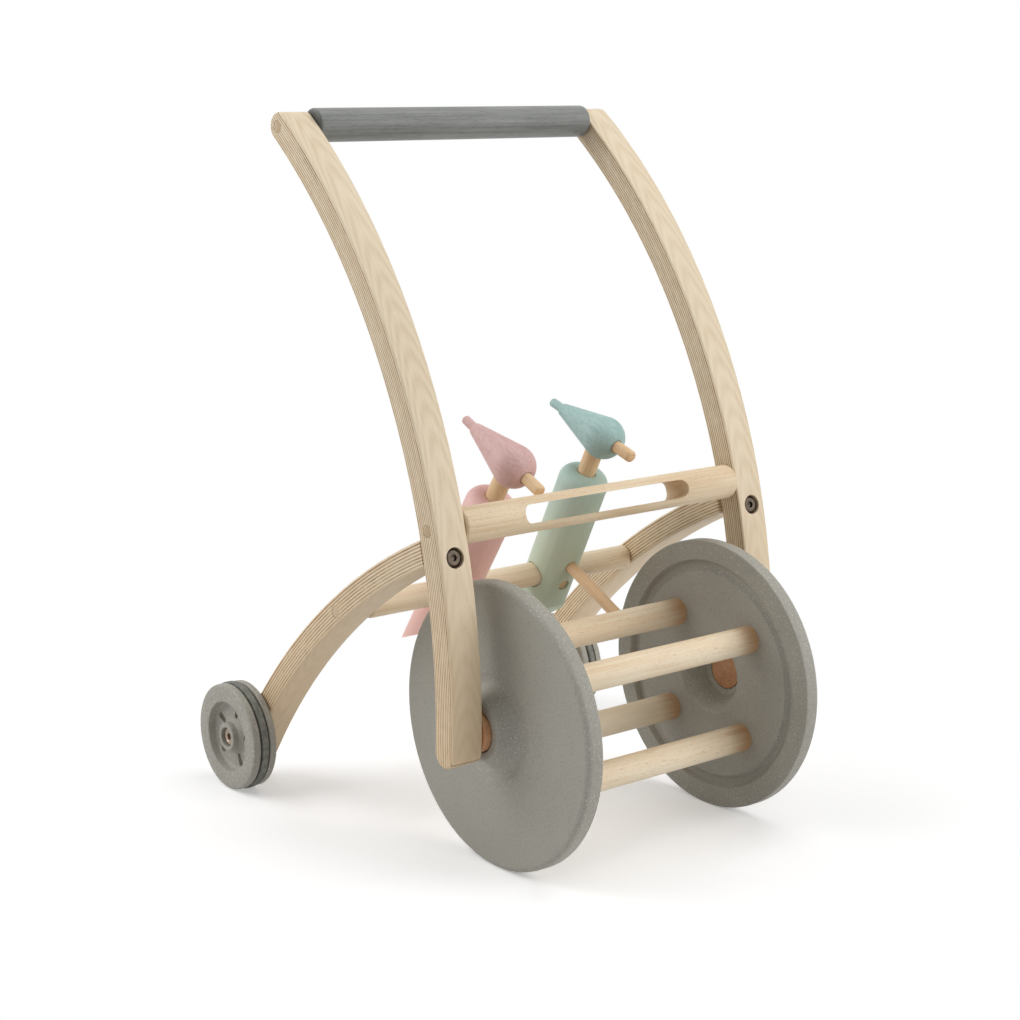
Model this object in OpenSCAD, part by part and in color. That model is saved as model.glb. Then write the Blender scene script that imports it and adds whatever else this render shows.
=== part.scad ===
// Baby push walker: two bent side bars with a grip, a rolling drum of two
// dished wheels and four rods in front, two rear arms with small wheels, and
// two nodding birds on an axle whose beaks knock on a slotted bar.
// X is across, -Y is forward, +Z is up. The floor is at Z = 0.

/* [Side bars] */
// Clear width between the two side bars
inner_width = 237.2; // [180:0.1:300]
// Width of each side bar, across the walker
bar_width = 23.6; // [18:0.1:30]
// Depth of each side bar, front to back
bar_depth = 18.8; // [15:0.1:26]
// Radius of the bend, to the middle of the bar
bar_bend = 468.9; // [380:0.1:600]
// How far the middle of the bars passes in front of the drum's axle
bar_lead = 1.95; // [0:0.05:4]
// How far the centre of the bend lies above the drum's axle
bend_rise = 6.8; // [0:0.1:20]
// Angle of the bend at which the top end's half-round is centred
bar_top_angle = 52.4; // [40:0.1:60]
// How far the lower end's half-round is centred below the drum's axle
bar_foot = 9.5; // [8:0.1:20]
// Rounding of the long edges of bars and arms
edge_round = 1.8; // [0.5:0.1:3]

/* [Grip and knock bar] */
// Diameter of the grip
grip_d = 22.9; // [18:0.1:30]
// How far the grip lies in front of the middle of the bars
grip_forward = 3.7; // [0:0.1:6]
// How far the grip lies below the centre of the bars' top ends
grip_down = 3.8; // [0:0.1:6]
// Diameter of the bar that the beaks knock on
knock_d = 23.6; // [19:0.1:28]
// Height of the knock bar above the drum's axle
knock_up = 132.1; // [126:0.1:140]
// Length of the slot through the knock bar
slot_length = 143.2; // [80:0.1:170]
// Height of the slot through the knock bar
slot_height = 12.5; // [6:0.1:14]

/* [Drum] */
// Radius of the two large wheels
drum_r = 95; // [85:0.5:110]
// Width of the rim of a large wheel
rim_width = 12.2; // [9:0.1:14]
// Gap from a side bar's inner face to the rim of the large wheel
wheel_inset = 16.8; // [14:0.1:26]
// Diameter of the fixed stub that a large wheel turns on
stub_d = 27; // [20:0.1:34]
// How far the hub cone stands out beyond the rim
hub_length = 11.8; // [9:0.1:14]
// Width of the flat ring around the hub on a large wheel's outer face
dish_width = 53.5; // [30:0.5:55]
// Depth of the round groove in a large wheel's inner face
groove_depth = 4.6; // [2:0.1:6]
// Length of the bearing sleeve inside the hub
sleeve_length = 7.2; // [5:0.1:10]
// Diameter of the four rods
rod_d = 18.9; // [14:0.1:22]
// Distance of the rods from the drum's axle
rod_orbit = 50.5; // [46:0.1:54]
// Turn of the first rod, up from the front
rod_turn = 41.07; // [30:0.01:60]

/* [Rear arms and wheels] */
// Width of each rear arm, across the walker
arm_width = 25.8; // [20:0.1:32]
// Thickness of each rear arm
arm_depth = 16.8; // [14:0.1:22]
// How far the arm runs on past the rear axle, to the centre of its round end
arm_tail = 20; // [8:0.5:24]
// Radius of the arm's bend, to its middle
arm_bend = 529.7; // [420:0.1:700]
// Height of the middle of the arm's top end above the drum's axle
arm_up = 116.95; // [105:0.05:125]
// Height of the arm bolt's head above the drum's axle
bolt_up = 116; // [108:0.1:119]
// Distance of the rear axle behind the drum's axle
wheel_base = 233.9; // [190:0.1:280]
// Radius of a small wheel over its rubber ring
rear_r = 39; // [34:0.1:46]
// Width of a small wheel
rear_width = 18.8; // [17:0.1:24]
// Width of the washer between a small wheel and its arm
washer_width = 1.2; // [0.8:0.1:2]
// Width of the rubber ring
ring_width = 5; // [4:0.1:7]
// Air on each side of the rubber ring in its groove
ring_gap = 1.3; // [0.1:0.1:2]

/* [Birds] */
// Distance between the two birds, centre to centre
bird_spacing = 89.8; // [80:0.1:120]
// Diameter of the axle that the birds nod on
bird_axle_d = 17.5; // [14:0.1:19]
// Distance of the birds' axle behind the drum's axle
bird_axle_back = 119.9; // [116:0.1:124]
// How far the birds' axle lies below the middle of the arms
bird_axle_drop = 0.9; // [0:0.1:1.5]
// Diameter of a bird's body
body_d = 36; // [32:0.1:42]
// Height of the body's top above the axle
body_up = 89; // [75:0.1:100]
// Depth of the tail's front corner below the axle
tail_front = 19; // [17:0.1:24]
// Depth of the tail's tip below the axle
tail_tip = 66; // [50:0.1:80]
// Diameter of the neck
neck_d = 13; // [10:0.1:15]
// Depth of the neck's socket in the body
neck_socket = 25; // [15:0.5:32]
// Radius of the ball of the head
head_r = 15; // [13:0.1:17]
// Height of the head's centre above the axle
head_up = 121; // [116:0.1:126]
// How far the head's centre lies in front of the neck
head_forward = 4.2; // [2:0.1:5]
// Angle by which the head looks up
head_tilt = 8.6; // [4:0.1:14]
// Length of the cone behind the head's centre
cone_length = 46.7; // [40:0.1:55]
// Radius of the cone's small end
cone_end_r = 4.5; // [3.8:0.1:6]
// Diameter of the button behind the cone
button_d = 6.4; // [5:0.1:7.4]
// Length of the button behind the cone
button_length = 12.5; // [8:0.1:16]
// Diameter of the beak
beak_d = 8.5; // [7:0.1:10]
// Diameter of the peg that the drum's rods lift
peg_d = 8.5; // [7:0.1:9]
// Height of the peg above the axle
peg_up = 17.1; // [16.6:0.1:18.5]
// Reach of the peg in front of the body's axis
peg_length = 76.2; // [70:0.1:77]
// Diameter of the pin that keeps a bird in its place on the axle
pin_d = 8.2; // [6:0.1:8.6]
// Lean of the bird that rests on the knock bar
front_angle = 33.4; // [31:0.1:35]
// Lean of the bird that stands back from the knock bar
back_angle = 26.5; // [22:0.1:28]
// Swing of a bird, from the knock bar to its backward stop
swing_angle = 70; // [40:1:80]

/* [Fixings] */
// Diameter of the wooden plugs
plug_d = 8; // [6:0.1:9]
// Length of the wooden plugs
plug_length = 4.6; // [3:0.1:6]
// Diameter of the wood screws
screw_d = 4; // [3:0.1:5]
// Length of the wood screws
screw_length = 45; // [36:1:55]
// Diameter of the arm bolt's head
bolt_head_d = 12.5; // [10:0.1:13]
// Diameter of the rear axle bolt's head
axle_head_d = 12.4; // [10:0.1:13]
// Diameter of the rear axle bolt's shoulder
shoulder_d = 8; // [6:0.1:9]

/* [Hidden] */
$fn = 64;

// fits of glued and running pieces, air to a stop, overlap of cutting tools,
// and how much smaller a bar's round end is than the bar
fit = 0.05;
air = 0.3;
cut = 1;
shy = 0.05;

// the walker's middle, front to back, lies on the origin
mid_y = (wheel_base + rear_r - drum_r) / 2;

// side bars
bar_in = inner_width / 2;
bar_out = bar_in + bar_width;
bar_x = bar_in + bar_width / 2;
bend = [sqrt(bar_bend * bar_bend - bend_rise * bend_rise) - bar_lead, drum_r + bend_rise];
bar_front_r = bar_bend + bar_depth / 2;
bar_back_r = bar_bend - bar_depth / 2;
function bend_angle(up, r) = asin((up - bend_rise) / r);
foot_angle = bend_angle(-bar_foot, bar_bend);
knock_angle = bend_angle(knock_up, bar_bend);
arm_angle = bend_angle(arm_up, bar_back_r);
bolt_angle = bend_angle(bolt_up, bar_front_r);
function on_bend(angle, r) = bend + r * [-cos(angle), sin(angle)];
top_end = on_bend(bar_top_angle, bar_bend);
foot_end = on_bend(foot_angle, bar_bend);

// grip and knock bar
grip_at = on_bend(bar_top_angle, bar_bend + grip_forward)
    - grip_down * [sin(bar_top_angle), cos(bar_top_angle)];
knock_at = on_bend(knock_angle, bar_bend);

// rear arms: one arc through the rear axle and the joint on the bar
arm_in = bar_out - arm_width;
axle_at = [wheel_base, rear_r];
arm_top = on_bend(arm_angle, bar_back_r);
chord = norm(axle_at - arm_top);
chord_up = [arm_top[1] - axle_at[1], axle_at[0] - arm_top[0]] / chord;
arm_c = (axle_at + arm_top) / 2
    - sqrt(arm_bend * arm_bend - chord * chord / 4) * chord_up;
arm_low = atan2(axle_at[1] - arm_c[1], axle_at[0] - arm_c[0]);
arm_high = atan2(arm_top[1] - arm_c[1], arm_top[0] - arm_c[0]);
arm_foot = arm_low - 2 * asin(arm_tail / 2 / arm_bend);
arm_end = arm_c + arm_bend * [cos(arm_foot), sin(arm_foot)];
arm_spare = 4;

// drum
wheel_out = bar_in - wheel_inset;
wheel_in = wheel_out - rim_width;
stub_r = stub_d / 2;
stub_end = wheel_out + hub_length - sleeve_length;
tenon_r = 5;
tenon_length = 14;
socket_depth = rim_width * 0.45;
disc_in = 1.5;

// rear wheels
hub_in = bar_out + washer_width + 0.1;
rear_out = hub_in + rear_width;
rim_r = rear_r - 0.6;
ring_floor = rim_r - 3.2;
ring_mid = (hub_in + rear_out) / 2;
dish_r = rim_r - 13;
hub_r = shoulder_d / 2 + 6.2;
hub_foot = hub_r + 3.2;
washer_r = arm_depth / 2 - 0.2;
web_out = rear_out - 6.5;
web_in = hub_in + 8.4;
head_well = rear_out - 6.4;
well_r = axle_head_d / 2 + 0.75;
rear_thread_r = shoulder_d / 2 - 1;
rear_bolt_length = 18;

// birds
bird_x = bird_spacing / 2;
axle_r = bird_axle_d / 2;
body_r = body_d / 2;
pivot_z = arm_c[1] + sqrt(pow(arm_bend - bird_axle_drop, 2)
    - pow(bird_axle_back - arm_c[0], 2));
pivot = [bird_axle_back, pivot_z];
shoulder_round = body_r / 2;
neck_foot = body_up - neck_socket;
neck_top = head_up - 6;
beak_r = beak_d / 2;
peg_r = peg_d / 2;
peg_root = -body_r * 0.6;
pin_r = pin_d / 2;
pin_tip = axle_r - 2.5;
groove_floor = pin_tip - 0.5;
groove_half = pin_r + air;
pin_spread = asin(pin_r / pin_tip) + 1.5;
groove_start = 180 - (swing_angle - front_angle) - pin_spread;
groove_sweep = swing_angle + 2 * pin_spread;

// the beak ends just short of the knock bar when the bird leans on it
head_dir = [-cos(front_angle), -sin(front_angle)];
up_dir = [-sin(front_angle), cos(front_angle)];
head_c = pivot + head_forward * head_dir + head_up * up_dir;
beak_dir = cos(head_tilt) * head_dir + sin(head_tilt) * up_dir;
from_bar = head_c - knock_at;
along = from_bar * beak_dir;
reach_r = beak_r + knock_d / 2 + air;
beak_root = max(0, along * along - from_bar * from_bar + reach_r * reach_r);
beak_centre = -along - sqrt(beak_root);

// colours
ply = [0.87, 0.76, 0.58];
beech = [0.80, 0.63, 0.42];
grey_stain = [0.55, 0.57, 0.55];
composite = [0.56, 0.55, 0.52];
dark_rubber = [0.20, 0.21, 0.22];
pink = [0.78, 0.52, 0.50];
mint = [0.62, 0.76, 0.68];
bronze = [0.23, 0.19, 0.16];
steel = [0.60, 0.55, 0.50];

// draw in the plane of Y and Z, with the height along +X
module to_x() { rotate([90, 0, 90]) children(); }

// set the walker's middle over the origin
module placed() { translate([0, -mid_y, 0]) children(); }

// left is +X; the right side is its mirror image
module side(s) { if (s > 0) children(); else mirror([1, 0, 0]) children(); }

// round bar along X from x0 to x1 at [y, z]
module round_x(at, x0, x1, r) {
    translate([x0, at[0], at[1]]) rotate([0, 90, 0]) cylinder(r = r, h = x1 - x0);
}

// round bar along X with a small bevel at both ends
module bevelled_x(at, x0, x1, r, b) {
    translate([x0, at[0], at[1]]) rotate([0, 90, 0]) rotate_extrude()
        polygon([[0, 0], [r - b, 0], [r, b], [r, x1 - x0 - b], [r - b, x1 - x0], [0, x1 - x0]]);
}

// rectangle with rounded corners, centred
module soft_rect(d, w, e) {
    square([d - 2 * e, w], center = true);
    square([d, w - 2 * e], center = true);
    for (i = [-1, 1], j = [-1, 1])
        translate([i * (d / 2 - e), j * (w / 2 - e)]) circle(r = e);
}

// right half of a soft rectangle, for a round end
module soft_half(r, w, e) {
    translate([0, -w / 2]) square([r - e, w]);
    translate([0, e - w / 2]) square([r, w - 2 * e]);
    for (j = [-1, 1]) translate([r - e, j * (w / 2 - e)]) circle(r = e);
}

// bent bar about the point c, from angle a over a sweep, centred on X = x
module bent(c, r, a, sweep, d, w, x) {
    translate([x, c[0], c[1]]) to_x() rotate([0, 0, a])
        rotate_extrude(angle = sweep) translate([r, 0]) soft_rect(d, w, edge_round);
}

// half-round end of a bent bar at the point c, a hair smaller than the bar
module round_end(c, d, w, x) {
    translate([x, c[0], c[1]]) to_x() rotate_extrude()
        soft_half(d / 2 - shy, w - 2 * shy, edge_round);
}

// frame of the arm's bolt: +Z runs from the bar's front face into the arm
module bolt_line() {
    at = on_bend(bolt_angle, bar_front_r);
    translate([bar_x, at[0], at[1]]) rotate([-90 - bolt_angle, 0, 0]) children();
}

bolt_sink = 1.3;
bolt_head_h = 2.4;
bolt_well = bolt_sink + bolt_head_h;
bolt_r = 2.9;
insert_r = 4.2;
insert_from = bar_depth + 16;
insert_length = 15;
dowel_r = 2.5;
dowel_length = 16;
dowel_side = bar_width * 0.34;
dowel_up = 4.5;

module bolt_bores() {
    bolt_line() {
        translate([0, 0, -cut]) cylinder(r = bolt_head_d / 2 + 0.5, h = bolt_well + cut);
        cylinder(r = bolt_r + fit, h = insert_from + insert_length);
        translate([0, 0, insert_from]) cylinder(r = insert_r + fit, h = insert_length + fit);
        translate([-dowel_side, -dowel_up, bar_depth - dowel_length / 2 - fit])
            cylinder(r = dowel_r + fit, h = dowel_length + 2 * fit);
    }
}

screw_head_r = plug_d / 2 - 0.3;
screw_head_h = 2.6;

// bore for a wood screw and its plug, from the outer face inward
module screw_bore(at) {
    round_x(at, bar_out - plug_length - screw_head_h, bar_out + cut, plug_d / 2 + fit);
    round_x(at, bar_out - plug_length - screw_length - fit, bar_out, screw_d / 2 + fit);
}

module wood_screw(at) {
    head = bar_out - plug_length;
    difference() {
        union() {
            round_x(at, head - screw_head_h, head, screw_head_r);
            round_x(at, head - screw_length, head - screw_head_h, screw_d / 2);
        }
        translate([head - 1.4, at[0], at[1]]) rotate([0, 90, 0])
            cylinder(r = screw_d * 0.42, h = cut + 1.4, $fn = 6);
    }
}

module wood_plug(at) {
    bevelled_x(at, bar_out - plug_length, bar_out, plug_d / 2, 0.25);
}

// side bar with its bores, left side
module side_bar() {
    color(ply) difference() {
        union() {
            bent(bend, bar_bend, 180 - bar_top_angle, bar_top_angle - foot_angle,
                bar_depth, bar_width, bar_x);
            round_end(top_end, bar_depth, bar_width, bar_x);
            round_end(foot_end, bar_depth, bar_width, bar_x);
        }
        round_x([0, drum_r], bar_in - cut, bar_in + tenon_length + fit, tenon_r + fit);
        screw_bore(top_end);
        screw_bore(knock_at);
        bolt_bores();
    }
}

// rear arm: bent strip cut to the back face of the bar, left side
module rear_arm() {
    arm_x = (arm_in + bar_out) / 2;
    color(ply) difference() {
        intersection() {
            union() {
                bent(arm_c, arm_bend, arm_foot, arm_high + arm_spare - arm_foot,
                    arm_depth, arm_width, arm_x);
                round_end(arm_end, arm_depth, arm_width, arm_x);
            }
            round_x(bend, arm_in - cut, bar_out + cut, bar_back_r);
        }
        round_x(knock_at, arm_in - cut, bar_in, knock_d / 2 + fit);
        screw_bore(pivot);
        bolt_bores();
        round_x(axle_at, bar_out - rear_bolt_length - fit, bar_out + cut, insert_r + fit);
    }
}

module grip() {
    placed() color(grey_stain) difference() {
        bevelled_x(grip_at, -bar_in, bar_in, grip_d / 2, 1.2);
        for (s = [-1, 1]) side(s) screw_bore(top_end);
    }
}

module knock_bar() {
    half = slot_length / 2 - slot_height / 2;
    placed() color(beech) difference() {
        bevelled_x(knock_at, -bar_in, bar_in, knock_d / 2, 0.8);
        for (s = [-1, 1]) side(s) screw_bore(knock_at);
        translate([0, knock_at[0], knock_at[1]]) rotate([-90 - knock_angle, 0, 0])
            translate([0, 0, -knock_d]) {
                for (s = [-1, 1]) translate([s * half, 0, 0])
                    cylinder(r = slot_height / 2, h = 2 * knock_d);
                translate([-half, -slot_height / 2, 0]) cube([2 * half, slot_height, 2 * knock_d]);
            }
    }
}

// axle with a sector groove for each bird's pin, which stops the swing
module bird_axle() {
    placed() color(beech) difference() {
        bevelled_x(pivot, -arm_in, arm_in, axle_r, 0.8);
        for (s = [-1, 1]) {
            side(s) screw_bore(pivot);
            translate([s * bird_x, pivot[0], pivot[1]]) to_x() rotate([0, 0, groove_start])
                rotate_extrude(angle = groove_sweep) translate([groove_floor, -groove_half])
                    square([axle_r - groove_floor + cut, 2 * groove_half]);
        }
    }
}

module hub_stub() {
    color(beech) translate([0, 0, drum_r]) rotate([0, 90, 0]) rotate_extrude()
        polygon([[0, stub_end], [stub_r - 0.6, stub_end], [stub_r, stub_end + 0.6],
            [stub_r, bar_in], [tenon_r, bar_in], [tenon_r, bar_in + tenon_length],
            [0, bar_in + tenon_length]]);
}

module arm_bolt() {
    color(bronze) bolt_line() difference() {
        union() {
            translate([0, 0, bolt_sink]) rotate_extrude()
                polygon([[0, 0], [bolt_head_d / 2 - 1.2, 0], [bolt_head_d / 2 - 0.3, 0.5],
                    [bolt_head_d / 2, 1.2], [bolt_head_d / 2, bolt_head_h], [0, bolt_head_h]]);
            translate([0, 0, bolt_well]) cylinder(r = bolt_r, h = insert_from + insert_length - 2 - bolt_well);
        }
        translate([0, 0, bolt_sink - cut]) cylinder(r = 2.31, h = 1.8 + cut, $fn = 6);
    }
}

module arm_insert() {
    color(steel) bolt_line() translate([0, 0, insert_from]) difference() {
        cylinder(r = insert_r, h = insert_length);
        translate([0, 0, -cut]) cylinder(r = bolt_r + fit, h = insert_length + 2 * cut);
    }
}

module arm_dowel() {
    color(beech) bolt_line()
        translate([-dowel_side, -dowel_up, bar_depth - dowel_length / 2])
            cylinder(r = dowel_r, h = dowel_length);
}

// large wheel: rim, dished disc and a hub cone that turns on the stub
module drum_wheel() {
    bore = stub_r + fit;
    color(composite) translate([0, 0, drum_r]) difference() {
        rotate([0, 90, 0]) rotate_extrude() translate([0, wheel_out]) polygon([
            [drum_r - 0.8, -rim_width], [drum_r - 0.2, 0.5 - rim_width],
            [drum_r, 1.2 - rim_width], [drum_r, -4], [drum_r - 0.3, -2.5],
            [drum_r - 1.2, -1.2], [drum_r - 2.5, -0.3], [drum_r - 4, 0],
            [drum_r - 4 - dish_width, -0.5],
            [bore + 19.4, -1.3], [bore + 16.5, -1.9], [bore + 14.6, -1.6], [bore + 12.8, -0.5],
            [bore + 11, 2.4], [bore + 8.6, hub_length * 0.6], [bore + 6.6, hub_length * 0.86],
            [bore + 5.4, hub_length - 0.5], [bore + 4.6, hub_length], [bore + 0.8, hub_length],
            [bore, hub_length - 0.8], [bore, hub_length - sleeve_length],
            [bore + 4.4, hub_length - sleeve_length], [bore + 5.1, hub_length - sleeve_length - 0.8],
            [bore + 7.1, -0.9], [bore + 9.8, -5.7], [bore + 11.8, disc_in + 1.1 - rim_width],
            [bore + 14.8, disc_in - rim_width], [drum_r - 22.5, disc_in - rim_width],
            [drum_r - 19.6, groove_depth - 0.4 - rim_width], [drum_r - 18, groove_depth - rim_width],
            [drum_r - 16, groove_depth - rim_width], [drum_r - 14.9, groove_depth - 0.8 - rim_width],
            [drum_r - 14.3, 0.8 - rim_width], [drum_r - 13.7, -rim_width]]);
        for (k = [0 : 3]) rotate([-rod_turn - 90 * k, 0, 0])
            round_x([-rod_orbit, 0], wheel_in - cut, wheel_in + socket_depth + disc_in, rod_d / 2 + fit);
    }
}

// one rod of the drum, k quarter turns on from the first
module drum_rod(k) {
    half = wheel_in + socket_depth + disc_in - fit;
    placed() color(beech) translate([0, 0, drum_r]) rotate([-rod_turn - 90 * k, 0, 0])
        bevelled_x([-rod_orbit, 0], -half, half, rod_d / 2, 0.3);
}

module rear_bolt() {
    color(steel) difference() {
        union() {
            translate([0, axle_at[0], axle_at[1]]) rotate([0, 90, 0]) rotate_extrude()
                polygon([[0, head_well + 0.2], [axle_head_d / 2, head_well + 0.2],
                    [axle_head_d / 2, rear_out - 2.6], [axle_head_d / 2 - 0.6, rear_out - 2],
                    [0, rear_out - 2]]);
            round_x(axle_at, bar_out, head_well + 0.2, shoulder_d / 2);
            round_x(axle_at, bar_out - rear_bolt_length + 2, bar_out, rear_thread_r);
        }
        translate([rear_out - 5, axle_at[0], axle_at[1]]) rotate([0, 90, 0])
            cylinder(r = 2.7, h = 5, $fn = 6);
    }
}

module rear_insert() {
    color(steel) difference() {
        round_x(axle_at, bar_out - rear_bolt_length, bar_out, insert_r);
        round_x(axle_at, bar_out - rear_bolt_length - cut, bar_out + cut, rear_thread_r + fit);
    }
}

module rear_washer() {
    color(steel) difference() {
        round_x(axle_at, bar_out, bar_out + washer_width, washer_r);
        round_x(axle_at, bar_out - cut, bar_out + washer_width + cut, shoulder_d / 2 + fit);
    }
}

slot_in = hub_foot + 0.6;
slot_out = dish_r - 4.2;
slot_w = 2.1;
slot_turn = 102;

// small wheel: two rims, a dish with five slots and a hub that takes the bolt
module rear_wheel() {
    bore = shoulder_d / 2 + fit;
    groove_w = ring_width / 2 + ring_gap;
    color(composite) translate([0, axle_at[0], axle_at[1]]) difference() {
        rotate([0, 90, 0]) rotate_extrude() polygon([
            [rim_r - 1, hub_in], [rim_r - 0.3, hub_in + 0.4], [rim_r, hub_in + 1.2],
            [rim_r - 0.3, ring_mid - groove_w], [ring_floor, ring_mid - groove_w],
            [ring_floor, ring_mid + groove_w], [rim_r - 0.3, ring_mid + groove_w],
            [rim_r, rear_out - 1.2], [rim_r - 0.3, rear_out - 0.4], [rim_r - 1, rear_out],
            [dish_r + 0.8, rear_out], [dish_r, rear_out - 0.7], [dish_r - 0.5, rear_out - 4],
            [dish_r - 1.5, web_out + 0.8], [dish_r - 2.6, web_out],
            [hub_foot, web_out], [hub_foot - 1.6, web_out + 0.8], [hub_r, web_out + 3],
            [hub_r, rear_out - 0.2],
            [hub_r - 0.6, rear_out + 0.4], [well_r, rear_out + 0.4], [well_r, head_well],
            [bore, head_well], [bore, hub_in], [hub_r + 1, hub_in], [hub_foot, web_in],
            [dish_r - 1.5, web_in], [dish_r, hub_in]]);
        for (k = [0 : 4]) rotate([slot_turn + 72 * k, 0, 0]) translate([web_in - cut, 0, 0]) to_x()
            linear_extrude(height = web_out - web_in + 2 * cut) polygon([
                [slot_in - 1, -slot_w / 3], [slot_in, -slot_w / 2], [slot_out, -slot_w],
                [slot_out + 1.5, -slot_w / 2], [slot_out + 1.5, slot_w / 2],
                [slot_out, slot_w], [slot_in, slot_w / 2], [slot_in - 1, slot_w / 3]]);
    }
}

module rear_ring() {
    color(dark_rubber) translate([0, axle_at[0], axle_at[1]]) rotate([0, 90, 0])
        rotate_extrude() translate([ring_floor + fit, ring_mid - ring_width / 2])
            polygon([[0, 0], [rim_r - ring_floor, 0], [rear_r - ring_floor - fit, 1.4],
                [rear_r - ring_floor - fit, ring_width - 1.4], [rim_r - ring_floor, ring_width],
                [0, ring_width]]);
}

// stand a bird on the axle, s = -1 or 1 across, leaning forward
module bird(s, lean) {
    translate([s * bird_x, pivot[0] - mid_y, pivot[1]]) rotate([lean, 0, 0]) children();
}

// frame of the head: +Z points backward along the cone
module head_line() {
    translate([0, -head_forward, head_up]) rotate([-90 - head_tilt, 0, 0]) children();
}

module bird_body() {
    slant = (tail_tip - tail_front) / body_d;
    far = 10;
    difference() {
        translate([0, 0, -tail_tip]) rotate_extrude() {
            square([body_r, body_up + tail_tip - shoulder_round]);
            square([body_r - shoulder_round, body_up + tail_tip]);
            translate([body_r - shoulder_round, body_up + tail_tip - shoulder_round])
                circle(r = shoulder_round);
        }
        translate([-body_d, 0, 0]) to_x() linear_extrude(height = 2 * body_d) polygon([
            [-body_r - far, slant * far - tail_front],
            [body_r + far, -tail_tip - slant * far], [-body_r - far, -tail_tip - slant * far]]);
        round_x([0, 0], -body_d, body_d, axle_r + fit);
        translate([0, 0, neck_foot - fit]) cylinder(r = neck_d / 2 + fit, h = body_up);
        translate([0, 0, body_up - 0.8]) cylinder(r1 = neck_d / 2, r2 = neck_d / 2 + 1.8, h = 1.8);
        translate([0, 0, peg_up]) rotate([90, 0, 0])
            translate([0, 0, peg_root - fit]) cylinder(r = peg_r + fit, h = body_d);
        rotate([90, 0, 0]) cylinder(r = pin_r + fit, h = body_d);
    }
}

module bird_neck() {
    translate([0, 0, neck_foot]) rotate_extrude()
        polygon([[0, 0], [neck_d / 2 - 0.5, 0], [neck_d / 2, 0.5],
            [neck_d / 2, neck_top - neck_foot], [0, neck_top - neck_foot]]);
}

module bird_head() {
    reach = norm([cone_end_r, cone_length]);
    lean_in = atan2(cone_length, cone_end_r) - acos(head_r / reach);
    button_r = button_d / 2;
    end = cone_length + button_length;
    difference() {
        head_line() rotate_extrude() {
            intersection() {
                circle(r = head_r);
                translate([0, -head_r]) square([head_r, 2 * head_r]);
            }
            polygon([[0, 0], (head_r - fit) * [cos(lean_in), sin(lean_in)],
                [cone_end_r, cone_length - 0.8], [cone_end_r - 0.6, cone_length],
                [button_r, cone_length], [button_r, end - 1.8], [button_r - 0.5, end - 0.7],
                [button_r - 1.4, end], [0, end]]);
        }
        translate([0, 0, head_up - 2 * head_r])
            cylinder(r = neck_d / 2 + fit, h = neck_top + 2 * head_r - head_up + fit);
        head_line() translate([0, 0, -2 * head_r])
            cylinder(r = beak_r + fit, h = 1.5 * head_r + fit);
    }
}

module bird_beak() {
    head_line() mirror([0, 0, 1]) translate([0, 0, head_r / 2]) rotate_extrude() {
        square([beak_r, beak_centre - head_r / 2]);
        translate([0, beak_centre - head_r / 2]) intersection() {
            circle(r = beak_r);
            square(beak_r);
        }
    }
}

module bird_peg() {
    run = peg_length - peg_r - peg_root;
    translate([0, 0, peg_up]) rotate([90, 0, 0]) translate([0, 0, peg_root]) rotate_extrude() {
        square([peg_r, run]);
        translate([0, run]) intersection() {
            circle(r = peg_r);
            square(peg_r);
        }
    }
}

module bird_pin() {
    rotate([90, 0, 0]) translate([0, 0, pin_tip]) rotate_extrude()
        polygon([[0, 0], [pin_r, 0], [pin_r, body_r - 2.3 - pin_tip],
            [pin_r - 0.5, body_r - 1.8 - pin_tip], [0, body_r - 1.8 - pin_tip]]);
}

module side_bar_left() { placed() side_bar(); }
module side_bar_right() { placed() side(-1) side_bar(); }
module rear_arm_left() { placed() rear_arm(); }
module rear_arm_right() { placed() side(-1) rear_arm(); }
module hub_stub_left() { placed() hub_stub(); }
module hub_stub_right() { placed() side(-1) hub_stub(); }
module arm_bolt_left() { placed() arm_bolt(); }
module arm_bolt_right() { placed() side(-1) arm_bolt(); }
module arm_insert_left() { placed() arm_insert(); }
module arm_insert_right() { placed() side(-1) arm_insert(); }
module arm_dowel_left() { placed() arm_dowel(); }
module arm_dowel_right() { placed() side(-1) arm_dowel(); }
module grip_screw_left() { placed() color(steel) wood_screw(top_end); }
module grip_screw_right() { placed() side(-1) color(steel) wood_screw(top_end); }
module grip_plug_left() { placed() color(beech) wood_plug(top_end); }
module grip_plug_right() { placed() side(-1) color(beech) wood_plug(top_end); }
module knock_screw_left() { placed() color(steel) wood_screw(knock_at); }
module knock_screw_right() { placed() side(-1) color(steel) wood_screw(knock_at); }
module knock_plug_left() { placed() color(beech) wood_plug(knock_at); }
module knock_plug_right() { placed() side(-1) color(beech) wood_plug(knock_at); }
module axle_screw_left() { placed() color(steel) wood_screw(pivot); }
module axle_screw_right() { placed() side(-1) color(steel) wood_screw(pivot); }
module axle_plug_left() { placed() color(beech) wood_plug(pivot); }
module axle_plug_right() { placed() side(-1) color(beech) wood_plug(pivot); }
module drum_wheel_left() { placed() drum_wheel(); }
module drum_wheel_right() { placed() side(-1) drum_wheel(); }
module drum_rod_a() { drum_rod(0); }
module drum_rod_b() { drum_rod(1); }
module drum_rod_c() { drum_rod(2); }
module drum_rod_d() { drum_rod(3); }
module rear_bolt_left() { placed() rear_bolt(); }
module rear_bolt_right() { placed() side(-1) rear_bolt(); }
module rear_insert_left() { placed() rear_insert(); }
module rear_insert_right() { placed() side(-1) rear_insert(); }
module rear_washer_left() { placed() rear_washer(); }
module rear_washer_right() { placed() side(-1) rear_washer(); }
module rear_wheel_left() { placed() rear_wheel(); }
module rear_wheel_right() { placed() side(-1) rear_wheel(); }
module rear_ring_left() { placed() rear_ring(); }
module rear_ring_right() { placed() side(-1) rear_ring(); }
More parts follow.
